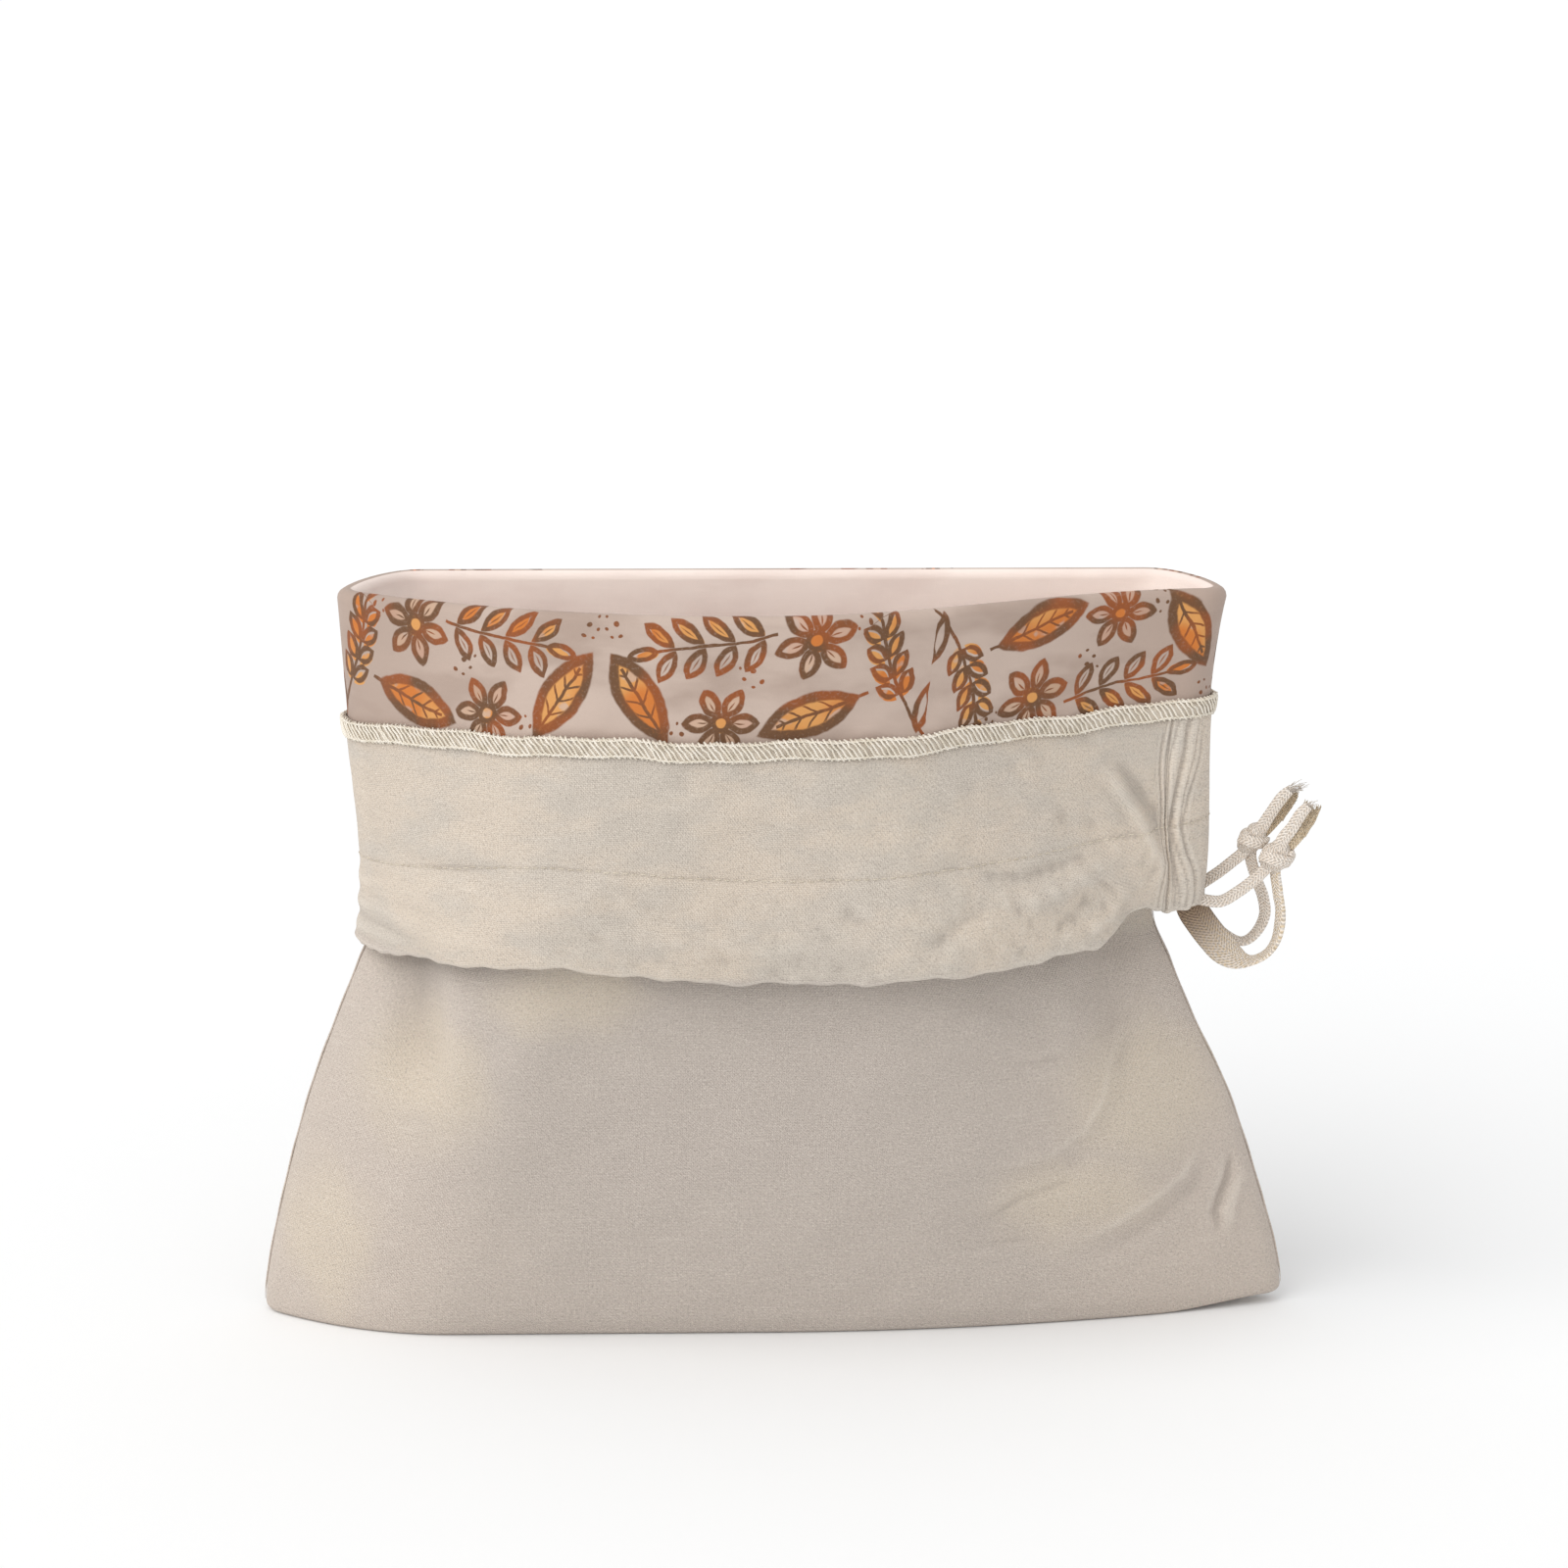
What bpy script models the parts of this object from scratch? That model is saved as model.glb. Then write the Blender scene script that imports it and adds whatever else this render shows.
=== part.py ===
"""A drawstring bread bag of natural cotton, standing open with its printed lining turned out as a cuff.

The bag stands on z = 0 and faces -Y, and X runs along its width. Sizes are in millimetres, and the meshes
are in metres.
"""

import math
from collections import namedtuple

import bmesh
import bpy
from mathutils import Vector

MM = 0.001

# Driving sizes of the bag
FLAT_WIDTH = 390.0
RIM_HEIGHT = 277.0
LOAF_DEPTH = 60.0
OUTER_CLOTH = 1.2
LINING_CLOTH = 1.0
LAYER_GAP = 0.4
SEAM_ROUND = 5.0
BASE_CORNER = 3.5
RIM_FOLD = 1.2
MOUTH_FOLD = 1.8
SIDE_LIFT = 4.0
SIDE_LIFT_FROM = 0.75
SIDE_LIFT_TOP = 60.0
OVERLOCK_HEIGHT = 7.0
OVERLOCK_DEPTH = 1.8

# Driving sizes of the drawstring tie
TAPE_WIDTH = 12.0
TAPE_THICKNESS = 1.2
FOLDED_WIDTH = 5.4
FOLDED_THICKNESS = 2.4
ROUTE_STEP = 2.2

HALF_WIDTH = FLAT_WIDTH / 2
SMALL_ANGLE = 0.002

# The open bag, section by section from the floor to the rim. Heights are shares of RIM_HEIGHT, left and
# right are shares of HALF_WIDTH, and front and back are shares of LOAF_DEPTH. A shoulder is the share of
# the half width over which the wall swings out from its side seam, and ease flattens the wall at the right
# seam, where the tie pulls. The last two columns are how far the side seams lie behind the middle, as
# shares of LOAF_DEPTH.
Section = namedtuple(
    "Section",
    "height left right front back left_shoulder right_shoulder back_shoulder ease left_y right_y",
)
SECTIONS = (
    Section(0.00, 1.000, 0.995, 0.58, 0.52, 0.38, 1.00, 0.60, 0.0, 0.00, 0.14),
    Section(0.04, 0.997, 0.990, 0.64, 0.58, 0.40, 1.00, 0.60, 0.0, 0.00, 0.12),
    Section(0.13, 0.972, 0.961, 0.73, 0.68, 0.44, 0.95, 0.58, 0.0, 0.00, 0.08),
    Section(0.30, 0.908, 0.885, 0.90, 0.82, 0.50, 0.85, 0.52, 0.1, -0.02, 0.04),
    Section(0.42, 0.846, 0.806, 0.99, 0.88, 0.52, 0.78, 0.47, 0.3, -0.03, 0.00),
    Section(0.50, 0.800, 0.759, 1.02, 0.88, 0.53, 0.74, 0.44, 0.4, -0.04, 0.00),
    Section(0.56, 0.766, 0.726, 1.03, 0.86, 0.54, 0.72, 0.42, 0.5, -0.04, 0.00),
    Section(0.66, 0.762, 0.734, 1.02, 0.82, 0.60, 0.80, 0.38, 0.6, -0.05, 0.00),
    Section(0.82, 0.782, 0.765, 1.00, 0.70, 0.74, 0.95, 0.32, 0.9, -0.07, 0.00),
    Section(1.00, 0.800, 0.828, 0.96, 0.60, 0.90, 1.00, 0.24, 1.0, -0.08, 0.00),
)
WALL_HEIGHTS = (0.05, 0.14, 0.27, 0.41, 0.54, 0.70, 0.87)

# Rows of the cuff's layers: 0 is the rim, 1 the overlocked line and 2 the mouth's fold
CUFF_ROWS = (0.5, 1.0, 1.33, 1.66)
FACING_ROWS = (1.66, 1.33, 1.008)
BAND_ROWS = (0.5, 0.985)

# Values that change round the bag: at the left seam, the front, the right seam and the back
Round = namedtuple("Round", "left front right back")
CUFF_BOTTOM = Round(147.0, 148.0, 156.0, 150.0)
CUFF_STAND_OFF = Round(0.8, 9.0, 13.5, 7.0)
OVERLOCK_LINE = Round(226.0, 234.0, 237.0, 232.0)

# The cuff swings away from the wall on a smooth curve, flared more the lower this power is
CUFF_FLARE = 0.8

# Gathers of the cuff beside the right seam, where the tie draws the channel up
DRAWN_UP = 8.0
DRAWN_UP_OVER = 0.12
GATHER_COUNT = 3.0
GATHER_DEPTH = 1.6
GATHER_FULL_AT = 0.7
GATHER_START = 0.80
GATHER_END = 0.99

# Broad folds of the front wall: place across (share of the half width) and up, half sizes, and depth outwards
WallFold = namedtuple("WallFold", "across height half_width half_height depth")
WALL_FOLDS = (
    WallFold(-0.80, 128.0, 0.07, 30.0, -6.0),
    WallFold(-0.93, 118.0, 0.05, 36.0, 2.5),
    WallFold(0.70, 62.0, 0.16, 26.0, 4.5),
    WallFold(0.52, 40.0, 0.20, 16.0, -3.0),
    WallFold(0.86, 34.0, 0.07, 22.0, -3.5),
)

# Steps round the bag: wide steps over the front and back, fine steps by the gathered right seam
WIDE_STEPS = 17
FINE_STEPS = 8
FINE_FROM = 2.40

# The tie's tapes, from the channel to the knots and from the knots to the cut ends. Turn is the tape's roll
# in degrees: at 0 its width runs front to back, and at 90 its face is turned to the front.
Stop = namedtuple("Stop", "x y z turn width thickness")


def folded(x, y, z, turn):
    return Stop(x, y, z, turn, FOLDED_WIDTH, FOLDED_THICKNESS)


def flat(x, y, z, turn):
    return Stop(x, y, z, turn, TAPE_WIDTH, TAPE_THICKNESS)


TAPES = {
    "tie_strand_upper": (
        folded(162.5, 2.0, 168.6, 70),
        folded(167.0, 1.5, 172.0, 70),
        folded(171.6, 1.0, 176.0, 70),
        folded(174.6, 0.5, 178.8, 70),
    ),
    "tie_strand_lower": (
        folded(160.6, -8.0, 162.9, 60),
        folded(166.6, -7.8, 162.6, 60),
        folded(173.4, -7.0, 166.4, 65),
        folded(179.0, -6.0, 170.6, 70),
        folded(182.4, -5.3, 173.7, 70),
    ),
    "tie_strand_back": (
        folded(157.6, 7.0, 162.8, 0),
        folded(159.2, 8.0, 157.6, 5),
        folded(163.9, 8.4, 152.2, 10),
        folded(169.4, 8.0, 146.2, 15),
        folded(174.6, 7.0, 143.7, 20),
        folded(179.4, 6.0, 147.1, 30),
        folded(182.4, 4.5, 154.1, 50),
        folded(181.4, 3.5, 161.5, 60),
        folded(179.0, 3.0, 167.8, 60),
        folded(177.3, 2.0, 177.9, 60),
    ),
    "tie_strand_wide": (
        flat(155.0, -3.0, 163.6, 86),
        flat(155.8, -3.2, 158.6, 86),
        flat(158.8, -3.6, 153.8, 84),
        flat(163.4, -4.2, 148.6, 82),
        flat(168.8, -4.6, 143.4, 72),
        flat(173.8, -4.8, 139.4, 52),
        Stop(178.8, -5.0, 137.7, 28, 11.0, 1.3),
        Stop(183.4, -5.0, 139.9, 20, 9.5, 1.5),
        Stop(187.0, -5.0, 144.9, 22, 8.0, 1.8),
        Stop(188.8, -5.0, 151.7, 28, 6.8, 2.1),
        folded(188.9, -4.8, 158.7, 34),
        folded(187.8, -4.6, 165.5, 40),
        folded(186.8, -4.4, 172.2, 40),
    ),
    "tie_end_upper_light": (
        folded(182.2, 0.0, 189.6, 80),
        folded(185.6, -0.5, 195.0, 80),
        Stop(190.4, -1.0, 202.1, 84, 6.0, 1.6),
    ),
    "tie_end_upper_shaded": (
        Stop(183.7, 2.4, 188.5, 60, 5.0, 1.4),
        Stop(189.0, 3.2, 193.4, 50, 5.6, 1.4),
        Stop(193.8, 3.6, 200.1, 46, 6.0, 1.4),
    ),
    "tie_end_lower_light": (
        folded(190.2, -6.4, 184.6, 80),
        folded(193.0, -6.6, 190.6, 80),
        Stop(196.6, -6.8, 198.1, 84, 6.0, 1.6),
    ),
    "tie_end_lower_shaded": (
        Stop(191.7, -3.1, 182.7, 60, 5.0, 1.4),
        Stop(196.8, -2.4, 189.6, 50, 5.6, 1.4),
        Stop(200.6, -2.2, 196.7, 46, 6.0, 1.4),
    ),
}
TAPE_COLOURS = {"shaded": (0.50, 0.40, 0.28), "wide": (0.50, 0.40, 0.29)}
TAPE_COLOUR = (0.70, 0.62, 0.52)

# Each knot is a lump of tape wound about an axis that leans in the plane of the bag's front
Knot = namedtuple("Knot", "x y z width depth length lean wraps")
KNOTS = {
    "tie_knot_upper": Knot(178.8, 1.2, 184.0, 9.6, 10.8, 12.4, 38.0, 3),
    "tie_knot_lower": Knot(186.6, -4.4, 178.8, 10.8, 9.6, 13.2, 24.0, 3),
}
WRAP_DEPTH = 0.09
WRAP_SLANT = 0.12


def smooth(t):
    t = min(max(t, 0.0), 1.0)
    return t * t * (3 - 2 * t)


def shoulder(t):
    """Rises from 0 to 1 as a quarter of a barrel vault does."""
    return 1 - (1 - min(max(t, 0.0), 1.0)) ** 2


def curve_row(before, low, high, after, low_share, high_share, t):
    """A table's row between low and high, on curves whose end slopes come from the rows on either side."""
    values = []
    for a, b, c, d in zip(before, low, high, after):
        slope_low = (c - a) * low_share
        slope_high = (d - b) * high_share
        values.append(
            (2 * t**3 - 3 * t**2 + 1) * b
            + (t**3 - 2 * t**2 + t) * slope_low
            + (3 * t**2 - 2 * t**3) * c
            + (t**3 - t**2) * slope_high
        )
    return values


def section_at(height):
    """The section at a height in millimetres, on smooth curves through the table's rows."""
    share = min(max(height / RIM_HEIGHT, SECTIONS[0].height), SECTIONS[-1].height)
    index = max(i for i, row in enumerate(SECTIONS[:-1]) if row.height <= share)
    low, high = SECTIONS[index], SECTIONS[index + 1]
    before = SECTIONS[max(index - 1, 0)]
    after = SECTIONS[min(index + 2, len(SECTIONS) - 1)]
    span = high.height - low.height
    t = (share - low.height) / span
    low_share = span / (high.height - before.height)
    high_share = span / (after.height - low.height)
    return Section(*curve_row(before, low, high, after, low_share, high_share, t))


def round_value(table, angle):
    """A table's value at an angle, which runs from the left seam over the front to the right and the back."""
    across, forward = -math.cos(angle), math.sin(angle)
    side = table.left if across < 0 else table.right
    face = table.front if forward > 0 else table.back
    return across**2 * side + forward**2 * face


def fold_depth(across, height):
    total = 0.0
    for fold in WALL_FOLDS:
        sideways = (across - fold.across) / fold.half_width
        upwards = (height - fold.height) / fold.half_height
        total += fold.depth * math.exp(-(sideways**2) - upwards**2)
    return total


def outline(angle, row, height):
    """The outer face of the wall at one height, seen from above."""
    across = -math.cos(angle)
    left, right = -row.left * HALF_WIDTH, row.right * HALF_WIDTH
    x = (left + right) / 2 + across * (right - left) / 2
    seam_y = (row.left_y + (row.right_y - row.left_y) * (across + 1) / 2) * LOAF_DEPTH
    from_seam = min((1 - abs(across)) * (right - left) / 2 / SEAM_ROUND, 1.0)
    seam_cap = SEAM_ROUND * math.sqrt(1 - (1 - from_seam) ** 2)
    if math.sin(angle) >= 0:
        vault = shoulder((1 - across) / row.right_shoulder)
        right_rise = vault + (smooth((1 - across) / row.right_shoulder) - vault) * row.ease
        rise = shoulder((1 + across) / row.left_shoulder) * right_rise
        depth = row.front * LOAF_DEPTH - SEAM_ROUND + fold_depth(across, height)
        return Vector((x, seam_y - seam_cap - depth * rise))
    rise = shoulder((1 - abs(across)) / row.back_shoulder)
    return Vector((x, seam_y + seam_cap + (row.back * LOAF_DEPTH - SEAM_ROUND) * rise))


def place(angle, height, grow):
    """A point of the bag, grow millimetres outside the wall's outer face."""
    row = section_at(height)
    here = outline(angle, row, height)
    along = outline(angle + SMALL_ANGLE, row, height) - outline(angle - SMALL_ANGLE, row, height)
    out = Vector((along.y, -along.x)).normalized()
    lift = SIDE_LIFT * smooth((-math.cos(angle) - SIDE_LIFT_FROM) / (1 - SIDE_LIFT_FROM))
    lift *= 1 - smooth(height / SIDE_LIFT_TOP)
    return Vector((here.x + out.x * grow, here.y + out.y * grow, height + lift))


def angles():
    """The stations round the bag, the same ones over the front as over the back."""
    front = [FINE_FROM * i / WIDE_STEPS for i in range(WIDE_STEPS)]
    front += [FINE_FROM + (math.pi - FINE_FROM) * i / FINE_STEPS for i in range(FINE_STEPS)]
    return front + [math.pi] + [2 * math.pi - a for a in reversed(front[1:])]


def gather(angle, share_down):
    """How far the gathers by the right seam push the cuff out, growing towards the drawn-up channel."""
    within = (-math.cos(angle) - GATHER_START) / (GATHER_END - GATHER_START)
    if not 0 < within < 1:
        return 0.0
    wave = 0.5 - 0.5 * math.cos(2 * math.pi * GATHER_COUNT * within)
    return GATHER_DEPTH * wave * smooth(share_down / GATHER_FULL_AT)


def fold_height(angle):
    """The height of the middle of the mouth's fold, drawn up beside the right seam."""
    drawn = smooth((-math.cos(angle) - GATHER_START) / DRAWN_UP_OVER)
    return round_value(CUFF_BOTTOM, angle) + DRAWN_UP * drawn + MOUTH_FOLD


def cuff_point(angle, share_down, out):
    """A point of the cuff. Share_down is 0 at the rim and 1 at the mouth's fold, out is from the inner face."""
    height = RIM_HEIGHT + (fold_height(angle) - RIM_HEIGHT) * share_down
    stand_off = round_value(CUFF_STAND_OFF, angle) * smooth(share_down) ** CUFF_FLARE
    return place(angle, height, 2 * RIM_FOLD + stand_off + gather(angle, share_down) + out)


def share_at(angle, height):
    return (RIM_HEIGHT - height) / (RIM_HEIGHT - fold_height(angle))


def base_rows(depth, steps):
    """Rows round the base's soft corner. Depth is how far inside the outer face the surface lies."""
    rows = []
    radius = BASE_CORNER - depth
    for i in range(steps + 1):
        turn = math.pi / 2 * (1 - i / steps)
        inset = BASE_CORNER - radius * math.cos(turn)
        height = BASE_CORNER - radius * math.sin(turn)
        rows.append([place(a, 0.0, -inset) + Vector((0, 0, height)) for a in angles()])
    return rows


def wall_rows(depth):
    return [[place(a, RIM_HEIGHT * share, -depth) for a in angles()] for share in WALL_HEIGHTS]


def rim_rows(depth, steps):
    """Rows over the rim, where the wall folds outwards and becomes the cuff."""
    rows = []
    radius = RIM_FOLD + depth
    for i in range(steps + 1):
        turn = math.pi * (1 - i / steps)
        lift = Vector((0, 0, radius * math.sin(turn)))
        rows.append([place(a, RIM_HEIGHT, RIM_FOLD + radius * math.cos(turn)) + lift for a in angles()])
    return rows


def mouth_rows(steps):
    """Rows round the mouth's fold at the foot of the cuff, where the cloth turns up again on the outside."""
    rows = []
    for i in range(steps + 1):
        turn = math.pi * (1 + i / steps)
        drop = Vector((0, 0, MOUTH_FOLD * math.sin(turn)))
        rows.append([cuff_point(a, 1.0, MOUTH_FOLD * (1 + math.cos(turn))) + drop for a in angles()])
    return rows


def cuff_rows(out, places):
    """Rows of a layer of the cuff, at the places down the cuff that the tables above number."""
    rows = []
    for down in places:
        row = []
        for a in angles():
            line = share_at(a, round_value(OVERLOCK_LINE, a))
            share = line * min(down, 1.0) + (1 - line) * max(down - 1.0, 0.0)
            row.append(cuff_point(a, share, out))
        rows.append(row)
    return rows


def ring_grid(mesh, rows):
    """Vertices for the rows and quads between them, all round."""
    grid = [[mesh.verts.new(point * MM) for point in row] for row in rows]
    count = len(grid[0])
    for low, high in zip(grid, grid[1:]):
        for i in range(count):
            j = (i + 1) % count
            mesh.faces.new((low[i], low[j], high[j], high[i]))
    return grid


def bottom_faces(mesh, ring):
    """Closes the base with strips from the front half of its ring to the back half."""
    half = len(ring) // 2
    mesh.faces.new((ring[0], ring[-1], ring[1]))
    for i in range(1, half - 1):
        mesh.faces.new((ring[i], ring[-i], ring[-i - 1], ring[i + 1]))
    mesh.faces.new((ring[half - 1], ring[half + 1], ring[half]))


def finished_mesh(mesh, name):
    data = bpy.data.meshes.new(name)
    mesh.to_mesh(data)
    mesh.free()
    return data


def add_piece(name, data, colour, roughness):
    material = bpy.data.materials.new(name + "_cloth")
    material.use_nodes = True
    surface = material.node_tree.nodes["Principled BSDF"]
    surface.inputs["Base Color"].default_value = (*colour, 1.0)
    surface.inputs["Roughness"].default_value = roughness
    surface.inputs["Metallic"].default_value = 0.0
    data.materials.append(material)
    data.shade_smooth()
    data.set_sharp_from_angle(angle=math.radians(50))
    piece = bpy.data.objects.new(name, data)
    bpy.data.collections["bread_bag"].objects.link(piece)
    return piece


def cloth_bag(name, rows, thickness, colour, roughness):
    """A bag of cloth: the open surface of its outer face, given its thickness on the inner side."""
    mesh = bmesh.new()
    grid = ring_grid(mesh, rows)
    bottom_faces(mesh, grid[0])
    piece = add_piece(name, finished_mesh(mesh, name), colour, roughness)
    cloth = piece.modifiers.new("cloth", "SOLIDIFY")
    cloth.thickness = thickness * MM
    cloth.offset = -1.0
    cloth.use_even_offset = True
    cloth.use_quality_normals = True
    return piece


def add_outer_bag():
    rows = base_rows(0.0, 2) + wall_rows(0.0) + rim_rows(0.0, 4)
    rows += cuff_rows(0.0, CUFF_ROWS) + mouth_rows(4) + cuff_rows(2 * MOUTH_FOLD, FACING_ROWS)
    cloth_bag("outer_bag", rows, OUTER_CLOTH, (0.62, 0.56, 0.49), 0.9)


def add_printed_lining():
    depth = OUTER_CLOTH + LAYER_GAP
    rows = base_rows(depth, 2) + wall_rows(depth) + rim_rows(depth, 4) + cuff_rows(depth, BAND_ROWS)
    cloth_bag("printed_lining", rows, LINING_CLOTH, (0.60, 0.48, 0.42), 0.8)


def add_overlock_edge():
    """The overlocked edge that joins the lining to the facing, a raised band round the cuff."""
    half = OVERLOCK_HEIGHT / 2
    over_facing = 2 * MOUTH_FOLD + LAYER_GAP
    over_band = OUTER_CLOTH + LINING_CLOTH + 2 * LAYER_GAP
    profile = (
        (-half, over_facing),
        (0.5, over_facing),
        (half, over_band),
        (half, over_band + OVERLOCK_DEPTH * 0.5),
        (half - 1.2, over_facing + OVERLOCK_DEPTH * 0.8),
        (-half + 0.8, over_facing + OVERLOCK_DEPTH),
        (-half - 0.3, over_facing + OVERLOCK_DEPTH * 0.5),
    )
    rows = []
    for up, out in profile + profile[:1]:
        row = []
        for a in angles():
            share = share_at(a, round_value(OVERLOCK_LINE, a) + up)
            row.append(cuff_point(a, share, out))
        rows.append(row)
    mesh = bmesh.new()
    ring_grid(mesh, rows)
    bmesh.ops.remove_doubles(mesh, verts=mesh.verts, dist=1e-6)
    bmesh.ops.recalc_face_normals(mesh, faces=mesh.faces)
    add_piece("overlock_edge", finished_mesh(mesh, "overlock_edge"), (0.80, 0.74, 0.62), 0.85)


def along_route(stops):
    """Stops at even steps on a smooth curve through the route's own stops."""
    route = []
    padded = (stops[0],) + stops + (stops[-1],)
    for before, low, high, after in zip(padded, padded[1:], padded[2:], padded[3:]):
        span = math.dist(low[:3], high[:3])
        steps = max(1, round(span / ROUTE_STEP))
        for i in range(steps):
            route.append(Stop(*curve_row(before, low, high, after, 0.5, 0.5, i / steps)))
    return route + [stops[-1]]


def tape_section(width, thickness):
    """A flat tape's section, with its edges rounded off."""
    half, edge = width / 2, thickness / 2
    return (
        (-half, 0.0),
        (-half + edge, -edge),
        (half - edge, -edge),
        (half, 0.0),
        (half - edge, edge),
        (-half + edge, edge),
    )


def add_tape(name, stops):
    """A tape along its route, turned, folded and narrowed as its stops say."""
    route = along_route(stops)
    mesh = bmesh.new()
    rings = []
    for i, stop in enumerate(route):
        before, after = route[max(i - 1, 0)], route[min(i + 1, len(route) - 1)]
        ahead = (Vector(after[:3]) - Vector(before[:3])).normalized()
        side = Vector((0, 1, 0))
        side = (side - ahead * side.dot(ahead)).normalized()
        up = ahead.cross(side)
        turn = math.radians(stop.turn)
        wide = side * math.cos(turn) + up * math.sin(turn)
        thick = ahead.cross(wide)
        middle = Vector(stop[:3])
        section = tape_section(stop.width, stop.thickness)
        rings.append([mesh.verts.new((middle + wide * u + thick * v) * MM) for u, v in section])
    count = len(rings[0])
    for low, high in zip(rings, rings[1:]):
        for i in range(count):
            j = (i + 1) % count
            mesh.faces.new((low[i], low[j], high[j], high[i]))
    mesh.faces.new(rings[0][::-1])
    mesh.faces.new(rings[-1])
    bmesh.ops.recalc_face_normals(mesh, faces=mesh.faces)
    colour = TAPE_COLOURS.get(name.split("_")[-1], TAPE_COLOUR)
    add_piece(name, finished_mesh(mesh, name), colour, 0.85)


def add_knot(name, knot):
    """A knot's outer lump, grooved where the tape's turns lie side by side."""
    mesh = bmesh.new()
    bmesh.ops.create_uvsphere(mesh, u_segments=16, v_segments=11, radius=0.5)
    lean = math.radians(knot.lean)
    across = Vector((math.cos(lean), 0, -math.sin(lean)))
    along = Vector((math.sin(lean), 0, math.cos(lean)))
    middle = Vector((knot.x, knot.y, knot.z))
    for vert in mesh.verts:
        x, y, z = vert.co
        slant = WRAP_SLANT * math.sin(math.atan2(y, x))
        swell = 1 - WRAP_DEPTH + WRAP_DEPTH * math.cos(2 * math.pi * knot.wraps * (z + slant))
        sideways = across * x * knot.width * swell
        deep = Vector((0, y * knot.depth * swell, 0))
        vert.co = (middle + sideways + deep + along * z * knot.length) * MM
    bmesh.ops.recalc_face_normals(mesh, faces=mesh.faces)
    add_piece(name, finished_mesh(mesh, name), TAPE_COLOUR, 0.85)


def main():
    for old in list(bpy.data.objects):
        bpy.data.objects.remove(old)
    bag = bpy.data.collections.new("bread_bag")
    bpy.context.scene.collection.children.link(bag)
    add_outer_bag()
    add_printed_lining()
    add_overlock_edge()
    for name, stops in TAPES.items():
        add_tape(name, stops)
    for name, knot in KNOTS.items():
        add_knot(name, knot)


main()
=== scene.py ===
import math

import bpy
import numpy as np
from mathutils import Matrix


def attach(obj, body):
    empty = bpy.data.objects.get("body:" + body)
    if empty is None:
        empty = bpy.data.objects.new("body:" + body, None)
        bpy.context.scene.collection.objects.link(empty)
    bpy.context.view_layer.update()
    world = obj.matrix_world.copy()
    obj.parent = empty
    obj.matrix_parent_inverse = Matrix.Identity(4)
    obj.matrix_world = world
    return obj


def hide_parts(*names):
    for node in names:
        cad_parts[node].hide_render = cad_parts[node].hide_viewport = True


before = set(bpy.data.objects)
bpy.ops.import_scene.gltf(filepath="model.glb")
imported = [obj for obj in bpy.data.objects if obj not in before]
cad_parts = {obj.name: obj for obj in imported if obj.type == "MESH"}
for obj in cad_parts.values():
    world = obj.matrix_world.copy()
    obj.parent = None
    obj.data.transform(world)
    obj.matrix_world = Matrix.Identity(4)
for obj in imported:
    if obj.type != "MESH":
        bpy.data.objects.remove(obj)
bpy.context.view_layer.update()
scene = bpy.context.scene
mm = 0.001
print("frame loaded with", len(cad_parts), "nodes")

# camera: straight on to the front and a little above it
view = {"target": (0.0033, 0.0, 0.2055), "distance": 1.6, "elevation": 13.0, "lens": 98.6}


def addCamera():
    lift = math.radians(view["elevation"])
    x, y, z = view["target"]
    spot = (x, y - view["distance"] * math.cos(lift), z + view["distance"] * math.sin(lift))
    turn = (math.radians(90 - view["elevation"]), 0, 0)
    bpy.ops.object.select_all(action="DESELECT")
    bpy.ops.object.camera_add(location=spot, rotation=turn)
    camera = bpy.context.object
    camera.name = "front_camera"
    camera.data.sensor_width = 36
    camera.data.lens = view["lens"]
    camera.data.clip_end = 30
    scene.camera = camera


addCamera()
print("camera set")


# small helpers for numbers and meshes
def smooth(t):
    t = np.clip(t, 0.0, 1.0)
    return t * t * (3 - 2 * t)


def dome(t):
    return 1 - (1 - np.clip(t, 0.0, 1.0)) ** 2  # rises as a quarter of a vault does


def bell(t):
    return np.exp(-(t**2))


def unit(vectors):
    return vectors / np.maximum(np.linalg.norm(vectors, axis=-1, keepdims=True), 1e-12)


def square(vectors, ahead):
    # vectors turned square to the way ahead
    return unit(vectors - ahead * (vectors * ahead).sum(-1, keepdims=True))


def runAlong(points):
    steps = np.linalg.norm(np.diff(points, axis=-2), axis=-1)
    return np.concatenate([np.zeros(steps.shape[:-1] + (1,)), np.cumsum(steps, axis=-1)], axis=-1)


def readTable(places, values, at):
    # smooth curves through a table's rows, read at any places between them
    places, values = np.asarray(places, float), np.asarray(values, float)
    at = np.clip(np.asarray(at, float), places[0], places[-1])
    low = np.clip(np.searchsorted(places, at, side="right") - 1, 0, len(places) - 2)
    before, after = np.maximum(low - 1, 0), np.minimum(low + 2, len(places) - 1)
    span = places[low + 1] - places[low]
    t = ((at - places[low]) / span)[..., None]
    slopeLow = (values[low + 1] - values[before]) * (span / (places[low + 1] - places[before]))[..., None]
    slopeHigh = (values[after] - values[low]) * (span / (places[after] - places[low]))[..., None]
    ends = (2 * t**3 - 3 * t**2 + 1) * values[low] + (3 * t**2 - 2 * t**3) * values[low + 1]
    return ends + (t**3 - 2 * t**2 + t) * slopeLow + (t**3 - t**2) * slopeHigh


def tone(*channels):
    # a screen colour from 0 to 255 as the shader's own numbers
    parts = [value / 255 for value in channels]
    return (*(v / 12.92 if v <= 0.04045 else ((v + 0.055) / 1.055) ** 2.4 for v in parts), 1.0)


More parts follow.
